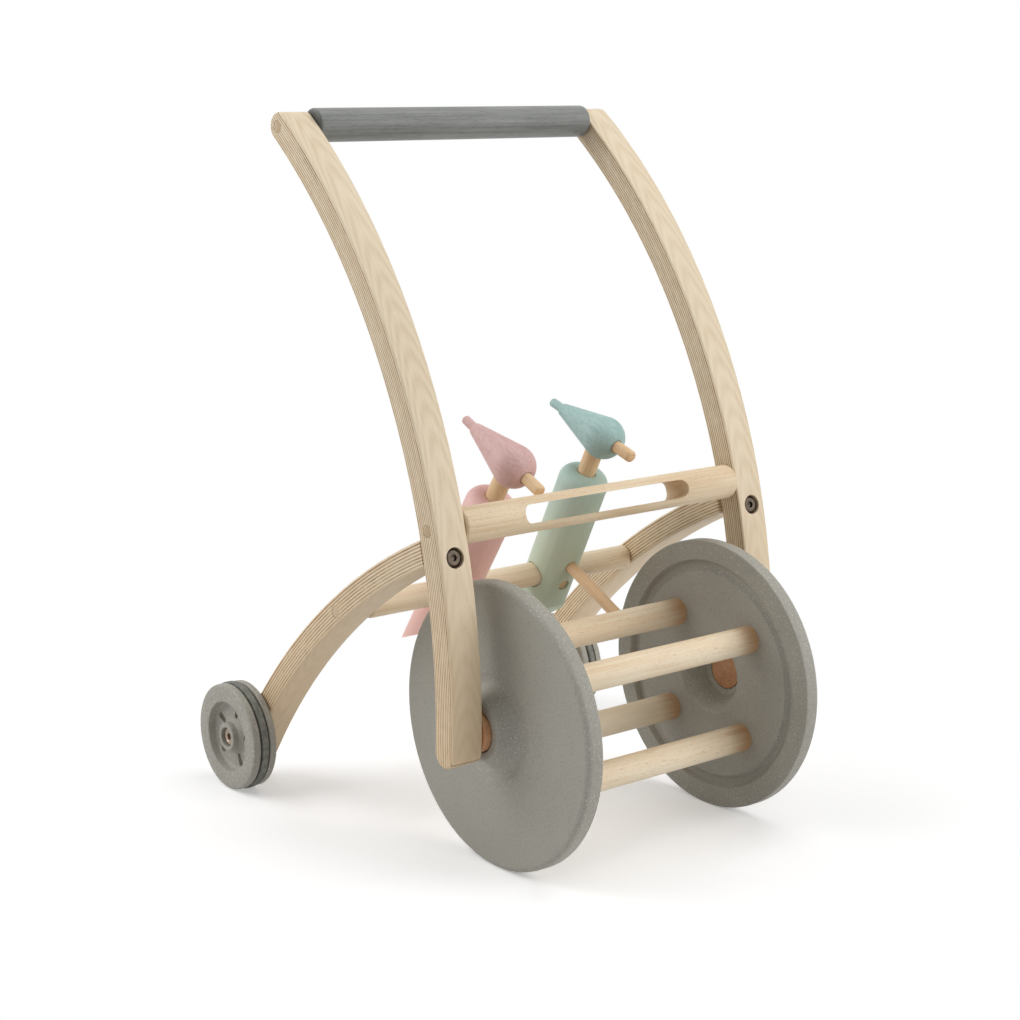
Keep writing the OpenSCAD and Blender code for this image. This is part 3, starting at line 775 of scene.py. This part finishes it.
class Piece:
    """A mesh in the making, in mm in the row frame."""

    made = 0

    def __init__(self, name: str, place: Matrix = Matrix.Identity(4)) -> None:
        """Starts an empty mesh.

        Args:
            name: Name of the piece.
            place: Frame of the piece; the grain runs along its +Z.
        """
        self.name = name
        self.place = place
        self.bm = bmesh.new()

    def line(self, points: Sequence[Vector], closed: bool) -> list[bmesh.types.BMVert | bmesh.types.BMEdge]:
        """Adds a line of points in the piece's frame.

        Args:
            points: The points.
            closed: True if the line returns to its start.

        Returns:
            Its vertices and edges.
        """
        verts = [self.bm.verts.new(self.place @ point) for point in points]
        ends = verts[1:] + verts[:1] if closed else verts[1:]
        return [*verts, *(self.bm.edges.new(pair) for pair in zip(verts, ends))]

    def spin(
        self, line: list, centre: Vector, axis: Vector, angle: float, steps: int, merge: bool = False
    ) -> None:
        """Turns a line of points into a surface.

        Args:
            line: Vertices and edges.
            centre: A point on the axis, in the row frame.
            axis: The axis, in the row frame.
            angle: How far to turn, in degrees.
            steps: Pieces in the turn.
            merge: True to join the end of a full turn to its start.
        """
        bmesh.ops.spin(
            self.bm, geom=line, cent=centre, axis=axis, dvec=(0, 0, 0), angle=math.radians(angle),
            steps=steps, use_merge=merge, use_duplicate=False,
        )

    def close(self, near: float = 1e-3) -> "Piece":
        """Merges doubled points and turns every face outward.

        Args:
            near: Greatest distance between doubled points.

        Returns:
            This piece.
        """
        bmesh.ops.remove_doubles(self.bm, verts=self.bm.verts, dist=near)
        bmesh.ops.dissolve_degenerate(self.bm, edges=self.bm.edges, dist=1e-4)
        bmesh.ops.recalc_face_normals(self.bm, faces=self.bm.faces)
        return self

    @classmethod
    def turned(
        cls, name: str, profile: Sequence[Point], place: Matrix, steps: int = 96, ring: bool = False
    ) -> "Piece":
        """Turns a profile about the +Z of a frame.

        Args:
            name: Name of the piece.
            profile: Points as (radius, height).
            place: The frame.
            steps: Steps in a full turn.
            ring: True if the profile is a ring with a hole on the axis.

        Returns:
            The turned piece.
        """
        piece = cls(name, place)
        line = piece.line([Vector((r, 0, h)) for r, h in profile], ring)
        piece.spin(line, place.translation, place.to_3x3() @ Vector((0, 0, 1)), 360, steps, True)
        return piece.close()

    @classmethod
    def prism(cls, name: str, outline: Sequence[Point], low: float, high: float, place: Matrix) -> "Piece":
        """Pushes a flat outline along the +Z of a frame.

        Args:
            name: Name of the piece.
            outline: Points as (x, y).
            low: Height at which it starts.
            high: Height at which it ends.
            place: The frame.

        Returns:
            The solid.
        """
        piece = cls(name, place)
        verts = [piece.bm.verts.new(place @ Vector((x, y, low))) for x, y in outline]
        face = piece.bm.faces.new(verts)
        made = bmesh.ops.extrude_face_region(piece.bm, geom=[face], use_keep_orig=True)["geom"]
        moved = [item for item in made if isinstance(item, bmesh.types.BMVert)]
        bmesh.ops.translate(piece.bm, verts=moved, vec=place.to_3x3() @ Vector((0, 0, high - low)))
        return piece.close()

    @classmethod
    def bent(
        cls, name: str, arc: Arc, first: float, last: float, span: Point, edge: float, both: bool
    ) -> "Piece":
        """Strip of wood along a bend, with rounded long edges.

        Args:
            name: Name of the piece.
            arc: The bend.
            first: Angle at which it starts.
            last: Angle at which it ends.
            span: Lower and upper X.
            edge: Rounding of the long edges.
            both: True if both ends are half round, otherwise only the last one is.

        Returns:
            The strip.
        """
        piece = cls(name)
        x0, x1 = span
        h = arc.depth / 2
        top = rounded([(x0, 0, 0), (x0, h, edge), (x1, h, edge), (x1, 0, 0)])
        section = top + [(x, -out) for x, out in reversed(top[1:-1])]
        up, steps = Vector((-1, 0, 0)), max(24, int((last - first) * 3))
        along = piece.line([Vector((x, *arc.at(first, out))) for x, out in section], True)
        piece.spin(along, Vector((0, arc.y, arc.z)), up, last - first, steps)
        for angle, axis in ((first, -up), (last, up)) if both else ((last, up),):
            half = piece.line([Vector((x, *arc.at(angle, out))) for x, out in top], False)
            piece.spin(half, Vector((0, *arc.at(angle))), axis, 180, 24)
        return piece.close(0.03)

    def trim(self, at: Vector, outward: Vector) -> "Piece":
        """Cuts the piece off at a plane and closes the end.

        Args:
            at: A point on the plane.
            outward: The side that is taken away.

        Returns:
            This piece.
        """
        bm = self.bm
        geom = [*bm.verts, *bm.edges, *bm.faces]
        bmesh.ops.bisect_plane(bm, geom=geom, dist=1e-4, plane_co=at, plane_no=outward, clear_outer=True)
        bmesh.ops.holes_fill(bm, edges=[e for e in bm.edges if e.is_boundary], sides=0)
        return self.close()

    def object(self) -> bpy.types.Object:
        """Writes the mesh to a new object in the scene."""
        mesh = bpy.data.meshes.new(self.name)
        self.bm.to_mesh(mesh)
        self.bm.free()
        made = bpy.data.objects.new(self.name, mesh)
        bpy.context.scene.collection.objects.link(made)
        return made

    def cut(self, *tools: "Piece") -> "Piece":
        """Takes other solids out of this one.

        Args:
            tools: What is taken away.

        Returns:
            This piece.
        """
        host, cutters = self.object(), [tool.object() for tool in tools]
        for cutter in cutters:
            modifier = host.modifiers.new("cut", "BOOLEAN")
            modifier.operation, modifier.solver, modifier.object = "DIFFERENCE", "EXACT", cutter
        bpy.context.view_layer.update()
        graph = bpy.context.evaluated_depsgraph_get()
        result = bpy.data.meshes.new_from_object(host.evaluated_get(graph))
        self.bm = bmesh.new()
        self.bm.from_mesh(result)
        for item in (host, *cutters):
            mesh = item.data
            bpy.data.objects.remove(item)
            bpy.data.meshes.remove(mesh)
        bpy.data.meshes.remove(result)
        bmesh.ops.remove_doubles(self.bm, verts=self.bm.verts, dist=1e-3)
        return self

    def soften(self, width: float, angle: float = 35.0) -> "Piece":
        """Rounds the sharp edges.

        Args:
            width: Width of the rounding.
            angle: Least angle between the faces at a sharp edge, in degrees.

        Returns:
            This piece.
        """
        limit = math.radians(angle)
        sharp = [e for e in self.bm.edges if len(e.link_faces) == 2 and e.calc_face_angle(0.0) > limit]
        bmesh.ops.bevel(
            self.bm, geom=sharp, offset=width, segments=3, affect="EDGES", profile=0.5, material=-1,
            clamp_overlap=True,
        )
        return self

    def done(self, finish: Finish, body: str, node: str) -> None:
        """Finishes the piece and fastens it to its CAD body.

        Args:
            finish: Its finish.
            body: The CAD body that it rides.
            node: The CAD node that it stands for.
        """
        Piece.made += 1
        shift = np.random.default_rng(Piece.made).uniform(-0.4, 0.4)
        made = self.object()
        mesh = made.data
        co = np.empty(len(mesh.vertices) * 3, np.float32)
        mesh.vertices.foreach_get("co", co)
        frame_back = self.place.inverted()
        local = co.reshape(-1, 3) @ np.array(frame_back.to_3x3()).T + np.array(frame_back.translation)
        grain = local[:, (2, 0, 1)] * MM + np.array([shift, 0, 0])
        attribute = mesh.attributes.new("grain", "FLOAT_VECTOR", "POINT")
        attribute.data.foreach_set("vector", grain.astype(np.float32).ravel())
        mesh.vertices.foreach_set("co", co * MM)
        mesh.update()
        mesh.polygons.foreach_set("use_smooth", [True] * len(mesh.polygons))
        mesh.set_sharp_from_angle(angle=math.radians(38))
        mesh.materials.append(finish.material)
        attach(made, body)
        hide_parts(node)
        LOG.info("%s: %d faces, rides %s", self.name, len(mesh.polygons), body)


def bore(radius: float, low: float, high: float, place: Matrix, steps: int = 72) -> Piece:
    """Drill for a round hole along the +Z of a frame.

    Args:
        radius: Its radius.
        low: Height at which it starts.
        high: Height at which it ends.
        place: The frame.
        steps: Steps round it.

    Returns:
        The drill.
    """
    return Piece.turned("tool", [(0, low), (radius, low), (radius, high), (0, high)], place, steps)


def rod(name: str, radius: float, ends: Point, edge: float, place: Matrix, steps: int = 96) -> Piece:
    """Round rod with rounded ends along the +Z of a frame.

    Args:
        name: Name of the piece.
        radius: Its radius.
        ends: Heights of its ends.
        edge: Rounding of its ends.
        place: The frame.
        steps: Steps round it.

    Returns:
        The rod.
    """
    low, high = ends
    profile = rounded([(0, low, 0), (radius, low, edge), (radius, high, edge), (0, high, 0)], steps=8)
    return Piece.turned(name, profile, place, steps)


@dataclass
class SideFrame:
    """One side: bent bar, rear arm, the bolt that joins them and the plugs."""

    side: Side
    edge: float = 1.4
    tail: float = 20.0
    joint_overlap: float = 3.0
    joint_gap: float = 0.4
    plug_r: float = 4.05
    plug_gap: float = 0.14
    plug_length: float = 4.4
    plug_sink: float = 0.03
    socket_depth: float = 4.6
    well_r: float = 6.75
    well_depth: float = 3.7
    head_r: float = 6.2
    shank_r: float = 2.9
    bolt_end: float = 40.0
    hexagon_r: float = 2.31
    hexagon_end: float = 3.1

    @property
    def middle(self) -> float:
        """X of the bar's middle."""
        return self.side.value * (LAYOUT.bar_in + LAYOUT.bar_out) / 2

    def span(self, inner: float) -> Point:
        """Lower and upper X of a strip.

        Args:
            inner: Distance of its inner face from the middle.

        Returns:
            The two X.
        """
        low, high = sorted((self.side.value * inner, self.side.value * LAYOUT.bar_out))
        return low, high

    def socket(self, at: Point) -> Piece:
        """Drill for a plug.

        Args:
            at: Y and Z of its axis.

        Returns:
            The drill.
        """
        out = LAYOUT.bar_out
        return bore(self.plug_r + self.plug_gap, out - self.socket_depth, out + PAST, across(at, self.side))

    def bar(self) -> None:
        """Adds the bent bar."""
        name, ends = f"side_bar_{self.side.word}", (LAYOUT.bar_foot, LAYOUT.bar_top)
        piece = Piece.bent(f"look_{name}", LAYOUT.bend, *ends, self.span(LAYOUT.bar_in), self.edge, True)
        well = bore(self.well_r, -PAST, self.well_depth, into_bar(LAYOUT.bolt_angle, self.middle))
        piece.cut(self.socket(LAYOUT.top_end), self.socket(LAYOUT.knock), well)
        piece.done(PLY_BAR, "frame", name)

    def arm(self) -> None:
        """Adds the rear arm, cut off along the bar's back."""
        arc, bend = LAYOUT.arm, LAYOUT.bend
        tail = arc.angle_of(LAYOUT.rear_axle) + math.degrees(self.tail / arc.radius)
        angle = LAYOUT.arm_angle
        name = f"rear_arm_{self.side.word}"
        start = arc.angle_of(bend.at(angle, -bend.depth / 2)) - self.joint_overlap
        piece = Piece.bent(f"look_{name}", arc, start, tail, self.span(LAYOUT.arm_in), self.edge, False)
        y, z = bend.at(angle, -bend.depth / 2 - self.joint_gap)
        a = math.radians(angle)
        piece.trim(Vector((0, y, z)), Vector((0, -math.cos(a), math.sin(a))))
        piece.cut(self.socket(LAYOUT.pivot)).done(PLY_ARM, "frame", name)

    def plugs(self) -> None:
        """Adds the plugs that cover the screws."""
        end = LAYOUT.bar_out - self.plug_sink
        ends = (end - self.plug_length, end)
        for name, at in (("grip", LAYOUT.top_end), ("knock", LAYOUT.knock), ("axle", LAYOUT.pivot)):
            node = f"{name}_plug_{self.side.word}"
            piece = rod(f"look_{node}", self.plug_r, ends, 0.3, across(at, self.side), 64)
            piece.place = Matrix.Translation((0, at[0], at[1]))
            piece.done(PLUG, "frame", node)

    def bolt(self) -> None:
        """Adds the bolt between bar and arm."""
        place = into_bar(LAYOUT.bolt_angle, self.middle)
        r, d = self.head_r, self.well_depth
        shank, end = self.shank_r, self.bolt_end
        profile = [
            (0, 1.3, 0), (4.6, 1.3, 0.6), (r, 2.3, 0.6), (r, d, 0.2), (shank, d, 0), (shank, end, 0),
            (0, end, 0),
        ]
        node = f"arm_bolt_{self.side.word}"
        piece = Piece.turned(f"look_{node}", rounded(profile), place, 72)
        piece.cut(bore(self.hexagon_r, 0, self.hexagon_end, place, 6)).soften(0.08)
        piece.done(BRONZE, "frame", node)

    def build(self) -> None:
        """Builds the side."""
        self.bar()
        self.arm()
        self.plugs()
        self.bolt()


@dataclass
class Crossbars:
    """Grip, knock bar, the birds' axle and the stubs that carry the drum."""

    grip_r: float = 11.45
    knock_r: float = 11.8
    slot_half: float = 71.6
    slot_height: float = 12.5
    slot_reach: float = 20.0
    slot_lip: float = 0.9
    stub_r: float = 13.5
    gap: float = 0.3
    grip_edge: float = 2.2
    knock_edge: float = 1.6
    axle_edge: float = 1.2
    stub_edge: float = 0.9

    def knock_bar(self) -> None:
        """Adds the bar with its long slot."""
        at, end = LAYOUT.knock, LAYOUT.bar_in - self.gap
        through = Matrix.Translation((0, at[0], at[1])) @ Matrix.Rotation(
            math.radians(-90 - LAYOUT.knock_angle), 4, "X"
        )
        w, r = self.slot_half, self.slot_height / 2
        half = r - 0.01
        slot = rounded([(-w, -r, half), (w, -r, half), (w, r, half), (-w, r, half)], True, 16)
        piece = rod("look_knock_bar", self.knock_r, (-end, end), self.knock_edge, across(at), 128)
        piece.cut(Piece.prism("tool", slot, -self.slot_reach, self.slot_reach, through)).soften(self.slot_lip)
        piece.done(BEECH, "frame", "knock_bar")

    def build(self) -> None:
        """Builds the crossbars."""
        end = LAYOUT.bar_in - self.gap
        grip = rod("look_grip", self.grip_r, (-end, end), self.grip_edge, across(LAYOUT.grip))
        grip.done(GREY, "frame", "grip")
        end = LAYOUT.arm_in - self.gap
        axle = rod("look_bird_axle", LAYOUT.axle_r, (-end, end), self.axle_edge, across(LAYOUT.pivot))
        axle.done(BEECH, "frame", "bird_axle")
        self.knock_bar()
        for side in Side:
            node = f"hub_stub_{side.word}"
            ends = (LAYOUT.stub_end, LAYOUT.bar_in - self.gap)
            stub = rod(f"look_{node}", self.stub_r, ends, self.stub_edge, across(LAYOUT.drum_axle, side))
            stub.done(BROWN, "frame", node)


@dataclass
class Drum:
    """The two large wheels and the four rods between them."""

    face: float = 101.8
    width: float = 12.2
    hub: float = 11.8
    recess: float = 1.5
    groove: float = 4.6
    bore_r: float = 13.95
    rod_r: float = 9.45
    orbit: float = 50.5
    turn: float = 41.07
    rod_end: float = 96.4

    def profile(self) -> list[Point]:
        """Profile of a wheel as (radius, height over its face)."""
        r, w, hub, b = LAYOUT.drum_r, -self.width, self.hub, self.bore_r
        disc, groove = w + self.recess, w + self.groove
        corners = [
            (r, w, 1.1), (r, 0, 4.0), (r - 58, -0.4, 12), (31.5, -1.9, 5), (28.2, -1.9, 4),
            (24.6, 2.2, 14), (22.0, 7.2, 12), (20.4, hub - 1.2, 3), (18.9, hub, 1.4), (b + 0.3, hub, 0.9),
            (b, hub - 2.3, 0), (b, hub - 7.2, 0.7), (18, hub - 7.2, 1.1), (20.4, -0.7, 5),
            (23.6, -6.3, 8), (26.0, disc + 1.6, 2.0), (28.5, disc, 1.2), (r - 22.5, disc, 0.9),
            (r - 19.8, groove - 0.4, 1.6), (r - 15.9, groove, 1.5),
            (r - 14.5, w + 1.2, 1.0), (r - 13.8, w, 0.9),
        ]
        return rounded(corners, True, 7)

    def build(self) -> None:
        """Builds the drum."""
        for side in Side:
            node = f"drum_wheel_{side.word}"
            place = across(LAYOUT.drum_axle, side) @ Matrix.Translation((0, 0, self.face))
            Piece.turned(f"look_{node}", self.profile(), place, 240, True).done(STONE, "drum", node)
        y, z = LAYOUT.drum_axle
        for k, letter in enumerate("abcd"):
            a = math.radians(self.turn + 90 * k)
            at = (y - self.orbit * math.cos(a), z + self.orbit * math.sin(a))
            node = f"drum_rod_{letter}"
            piece = rod(f"look_{node}", self.rod_r, (-self.rod_end, self.rod_end), 0.3, across(at))
            piece.done(ROD, "drum", node)


@dataclass
class RearWheel:
    """A small wheel with its rubber ring, bolt and washer."""

    side: Side
    inner: float = 143.5
    width: float = 18.8
    hub_r: float = 10.2
    well_r: float = 7.0
    bore_r: float = 4.05
    rim: float = 13.0
    web_drop: float = 6.5
    back_depth: float = 8.4
    ring_half: float = 2.5
    groove_half: float = 3.9
    groove_depth: float = 3.2
    slots: int = 5
    slot_from: Point = (13.6, 1.7)
    slot_to: Point = (23.0, 2.9)
    first_slot: float = 102.0
    head_r: float = 6.2
    head_top: float = 1.6
    hexagon_r: float = 2.7
    washer_r: float = 8.2
    washer: float = 1.2

    @property
    def outer(self) -> float:
        """X of the outer face."""
        return self.inner + self.width

    @property
    def rim_r(self) -> float:
        """Radius of the composite rim."""
        return LAYOUT.rear_r - 0.6

    def wheel(self, place: Matrix) -> None:
        """Adds the wheel with its slots.

        Args:
            place: Frame on its axle.
        """
        inner, out, r, hub, well = self.inner, self.outer, self.rim_r, self.hub_r, self.well_r
        middle, half, floor = inner + self.width / 2, self.groove_half, r - self.groove_depth
        dish, web, back = r - self.rim, out - self.web_drop, inner + self.back_depth
        corners = [
            (r, inner, 1.4), (r, middle - half, 0.5), (floor, middle - half, 0),
            (floor, middle + half, 0), (r, middle + half, 0.6), (r, out, 1.5),
            (dish + 0.4, out, 0.9), (dish - 0.7, web + 1.4, 1.3), (dish - 2.8, web, 1.5),
            (hub + 3.6, web, 1.7), (hub + 0.5, web + 2.6, 1.6), (hub, out + 0.4, 1.1),
            (well + 0.1, out + 0.4, 0.4), (well, out - 6.4, 0), (self.bore_r, out - 6.4, 0),
            (self.bore_r, inner, 0), (hub + 1, inner, 0.6), (hub + 3.2, back, 1.2), (dish - 1.5, back, 1.2),
            (dish, inner, 0.8),
        ]
        node = f"rear_wheel_{self.side.word}"
        piece = Piece.turned(f"look_{node}", rounded(corners, True), place, 144, True)
        (low, narrow), (high, wide) = self.slot_from, self.slot_to
        slot = rounded([(low, -narrow, 1.3), (high, -wide, 2.0), (high, wide, 2.0), (low, narrow, 1.3)], True)
        tools = []
        for k in range(self.slots):
            turn = math.radians(360 / self.slots * k + self.first_slot * self.side.value)
            turned = place @ Matrix.Rotation(turn, 4, "Z")
            tools.append(Piece.prism("tool", slot, back - 1.4, web + 1, turned))
        piece.cut(*tools).done(STONE, f"rear_{self.side.word}", node)

    def build(self) -> None:
        """Builds the wheel and what holds it."""
        word, out, bar = self.side.word, self.outer, LAYOUT.bar_out
        place = across(LAYOUT.rear_axle, self.side)
        self.wheel(place)
        low, high = self.rim_r - self.groove_depth + 0.1, self.rim_r + 0.6
        middle = self.inner + self.width / 2
        a, b = middle - self.ring_half, middle + self.ring_half
        band = [(low, a, 0.2), (high, a, 0.9), (high + 0.1, middle, 3), (high, b, 0.9), (low, b, 0.2)]
        ring = Piece.turned(f"look_rear_ring_{word}", rounded(band, True), place, 144, True)
        ring.done(TYRE, f"rear_{word}", f"rear_ring_{word}")
        r, seat, top = self.head_r, out - 6.2, out - self.head_top
        head = [
            (0, bar, 0), (4, bar, 0), (4, seat, 0), (r, seat, 0.2), (r, top, 0.7), (4.1, top, 0.3),
            (3.8, top - 0.5, 0.2), (0, top - 0.5, 0),
        ]
        bolt = Piece.turned(f"look_rear_bolt_{word}", rounded(head), place, 72)
        bolt.cut(bore(self.hexagon_r, top - 3.0, out, place, 6)).soften(0.07)
        bolt.done(STEEL, "frame", f"rear_bolt_{word}")
        r, top = self.washer_r, bar + self.washer
        disc = [(4.1, bar, 0.1), (r, bar, 0.2), (r, top, 0.2), (4.1, top, 0.1)]
        washer = Piece.turned(f"look_rear_washer_{word}", rounded(disc, True), place, 72, True)
        washer.done(STEEL, "frame", f"rear_washer_{word}")


@dataclass
class Bird:
    """A bird on the axle: body, neck, head, beak, peg and pin."""

    name: str
    x: float
    lean: float
    coat: Stain
    cap: Stain
    r: float = 18.0
    up: float = 89.0
    tail_front: float = 19.0
    tail_tip: float = 66.0
    neck_r: float = 6.5
    head_r: float = 15.0
    head_up: float = 121.0
    head_forward: float = 4.2
    head_tilt: float = 8.6
    cone: float = 46.7
    cone_r: float = 4.5
    button_r: float = 3.2
    button: float = 12.5
    beak_r: float = 4.25
    beak_end: float = 31.1
    peg_r: float = 4.25
    peg_up: float = 17.1
    peg_end: float = 76.2
    pin_r: float = 4.0
    axle_air: float = 0.6
    neck_air: float = 0.55
    head_air: float = 0.25
    beak_air: float = 0.5
    peg_air: float = 0.4
    place: Matrix = field(init=False)
    head: Matrix = field(init=False)
    peg: Matrix = field(init=False)

    def __post_init__(self) -> None:
        """Works out the frames of body, head and peg."""
        y, z = LAYOUT.pivot
        self.place = Matrix.Translation((self.x, y, z)) @ Matrix.Rotation(math.radians(self.lean), 4, "X")
        tilt = Matrix.Rotation(math.radians(-90 - self.head_tilt), 4, "X")
        self.head = self.place @ Matrix.Translation((0, -self.head_forward, self.head_up)) @ tilt
        self.peg = self.place @ Matrix.Translation((0, 0, self.peg_up)) @ FORWARD

    def fasten(self, piece: Piece, finish: Finish, part: str) -> None:
        """Finishes a piece of the bird.

        Args:
            piece: The piece.
            finish: Its finish.
            part: What it is.
        """
        piece.name = f"look_{self.name}_{part}"
        piece.done(finish, f"{self.name}_bird", f"{self.name}_{part}")

    def trunk(self) -> None:
        """Adds the body with its slanted tail and its bores."""
        r, low = self.r, -self.tail_tip - 4
        profile = rounded([(0, low, 0), (r, low, 0), (r, self.up, 9.0), (0, self.up, 0)], steps=12)
        piece = Piece.turned("body", profile, self.place, 128)
        slope, far = (self.tail_tip - self.tail_front) / (2 * r), 30.0
        wedge = [
            (-r - far, slope * far - self.tail_front), (r + far, -self.tail_tip - slope * far),
            (-r - far, -self.tail_tip - slope * far - 60),
        ]
        piece.cut(
            Piece.prism("tool", wedge, -30, 30, self.place @ TO_X),
            bore(LAYOUT.axle_r + self.axle_air, -30, 30, self.place @ TO_X, 96),
            bore(self.neck_r + self.neck_air, self.up - 26, self.up + 9, self.place),
            bore(self.peg_r + self.peg_air, -11, 30, self.peg),
            bore(self.pin_r + self.peg_air, 2, 30, self.place @ FORWARD),
        )
        self.fasten(piece.soften(0.45), self.coat, "body")

    def crown(self) -> None:
        """Adds the head: a ball that runs back into a cone with a button."""
        r, reach = self.head_r, math.hypot(self.cone_r, self.cone)
        last = math.atan2(self.cone, self.cone_r) - math.acos(r / reach)
        ball = [(r * math.cos(a), r * math.sin(a)) for a in np.linspace(-math.pi / 2, last, 40)]
        ball[0] = (0.0, -r)
        end = self.cone + self.button
        back = [
            (*ball[-1], 0), (self.cone_r, self.cone, 1.3), (self.button_r + 0.1, self.cone + 0.5, 0.5),
            (self.button_r, end, 2.4), (0, end, 0),
        ]
        piece = Piece.turned("head", ball + rounded(back, steps=7)[1:], self.head, 128)
        piece.cut(
            bore(self.neck_r + self.head_air, self.head_up - 30, self.head_up - 6.1, self.place),
            bore(self.beak_r + self.beak_air, 8.1, 30, self.head @ BACK),
        )
        self.fasten(piece.soften(0.3).close(0.02), self.cap, "head")

    def build(self) -> None:
        """Builds the bird."""
        self.trunk()
        self.crown()
        dowels = (
            ("neck", self.neck_r, (self.up - 25, self.head_up - 6), 0.5, self.place, 80),
            ("beak", self.beak_r, (8, self.beak_end), 3.3, self.head @ BACK, 64),
            ("peg", self.peg_r, (-10.8, self.peg_end), 3.6, self.peg, 64),
            ("pin", self.pin_r, (6.3, self.r - 2), 0.7, self.place @ FORWARD, 56),
        )
        for part, *sizes in dowels:
            self.fasten(rod(part, *sizes), WARM, part)


@dataclass(frozen=True)
class Lamp:
    """A soft square lamp that points at the walker; places and sizes are in metres."""

    name: str
    at: Place
    size: float
    level: float

    def add(self, aim: Place) -> None:
        """Adds the lamp, so that a face turned to it gets its level as a share of full light.

        Args:
            aim: The place that it points at.
        """
        way = Vector(aim) - Vector(self.at)
        data = bpy.data.lights.new(self.name, "AREA")
        data.shape = "SQUARE"
        data.size = self.size
        data.energy = self.level * math.pi**2 * way.length_squared
        obj = bpy.data.objects.new(self.name, data)
        obj.location = self.at
        obj.rotation_mode = "QUATERNION"
        obj.rotation_quaternion = way.to_track_quat("-Z", "Y")
        bpy.context.scene.collection.objects.link(obj)


@dataclass
class Studio:
    """Floor, lamps, background and camera; places and sizes are in metres, turns in degrees."""

    sky: float = 0.17
    floor_tone: float = 0.8
    floor_lift: float = 0.24
    floor_half: float = 12.0
    floor_shown: float = 0.12
    floor_gone: float = 0.44
    lamps: tuple[Lamp, ...] = (
        Lamp("top", (0.6, -0.4, 2.3), 1.8, 0.42),
        Lamp("left", (-1.5, 1.15, 1.6), 2.2, 0.7),
        Lamp("right", (1.15, -1.8, 0.95), 1.5, 0.42),
    )
    aim: Place = (0.0, 0.0, 0.2)
    sensor: float = 36.0
    focal_pixels: float = 2005.5
    centre_row: float = 469.64
    spot: Place = (-0.8611, -1.06295, 0.505)
    heading: float = -38.4456
    pitch: float = 78.9579
    roll: float = 0.1074

    @staticmethod
    def seen(graph: Graph) -> Sock:
        """Tells whether a ray sees the background itself.

        Args:
            graph: The shader.

        Returns:
            1 for camera, glossy and transmitted rays, otherwise 0.
        """
        path = graph.node("ShaderNodeLightPath", {}, {})
        camera, glossy, through = (
            Sock(graph, path.outputs[f"Is {kind} Ray"]) for kind in ("Camera", "Glossy", "Transmission")
        )
        return camera.math("MAXIMUM", glossy).math("MAXIMUM", through)

    def background(self) -> None:
        """Sets a white background and the even light of the surroundings."""
        world = bpy.data.worlds.new("studio")
        world.use_nodes = True
        graph = Graph(world.node_tree)
        back = world.node_tree.nodes["Background"]
        back.inputs["Color"].default_value = (1.0, 1.0, 1.0, 1.0)
        world.node_tree.links.new(self.seen(graph).spread(self.sky, 1.0).out, back.inputs["Strength"])
        bpy.context.scene.world = world

    def floor(self) -> None:
        """Adds a pale floor that fades into the background."""
        bm = bmesh.new()
        bmesh.ops.create_grid(bm, x_segments=2, y_segments=2, size=self.floor_half)
        mesh = bpy.data.meshes.new("floor")
        bm.to_mesh(mesh)
        bm.free()
        obj = bpy.data.objects.new("floor", mesh)
        bpy.context.scene.collection.objects.link(obj)
        s = Surface("floor", 0.9, 0.0, 0.0)
        x, y, _ = s.place().parts()
        away = (x * x + y * y).math("SQRT").step(self.floor_shown, self.floor_gone)
        seen = self.seen(s)
        s.dress(seen.spread(self.floor_tone, 1.0))
        s.tree.links.new((seen * self.floor_lift).out, s.shader.inputs["Emission Color"])
        s.shader.inputs["Emission Strength"].default_value = 1.0
        glow = s.node("ShaderNodeEmission", {}, {"Strength": 1.0})
        mix = s.node("ShaderNodeMixShader", {}, {0: seen * away})
        s.tree.links.new(s.shader.outputs[0], mix.inputs[1])
        s.tree.links.new(glow.outputs[0], mix.inputs[2])
        s.tree.links.new(mix.outputs[0], s.tree.nodes["Material Output"].inputs["Surface"])
        mesh.materials.append(s.material)

    def camera(self) -> None:
        """Adds the camera of the photo."""
        data = bpy.data.cameras.new("camera")
        data.sensor_width = self.sensor
        data.lens = self.sensor * self.focal_pixels / IMAGE_SIZE
        data.shift_y = (self.centre_row - IMAGE_SIZE / 2) / IMAGE_SIZE
        obj = bpy.data.objects.new("camera", data)
        place = Matrix.Translation(self.spot)
        for angle, axis in ((self.heading, "Z"), (self.pitch, "X"), (self.roll, "Z")):
            place = place @ Matrix.Rotation(math.radians(angle), 4, axis)
        obj.matrix_world = place
        bpy.context.scene.collection.objects.link(obj)
        bpy.context.scene.camera = obj

    def build(self) -> None:
        """Sets up the studio."""
        self.background()
        self.floor()
        for lamp in self.lamps:
            lamp.add(self.aim)
        self.camera()
        bpy.context.scene.view_settings.view_transform = "Standard"


def dress_hidden() -> None:
    """Gives the CAD pieces inside the wood their materials."""
    for name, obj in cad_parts.items():
        if not obj.hide_render:
            finish = BRASS if "insert" in name else STEEL if "screw" in name else BEECH
            obj.data.materials.clear()
            obj.data.materials.append(finish.material)


def main() -> None:
    """Builds the looks and the studio."""
    logging.basicConfig(level=logging.INFO)
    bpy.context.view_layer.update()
    for side in Side:
        SideFrame(side).build()
        RearWheel(side).build()
    Crossbars().build()
    Drum().build()
    Bird("pink", -44.9, 33.4, ROSE_STAIN, PINK_STAIN).build()
    Bird("mint", 44.9, 26.5, MINT_STAIN, TEAL_STAIN).build()
    dress_hidden()
    Studio().build()


if __name__ == "__main__":
    main()
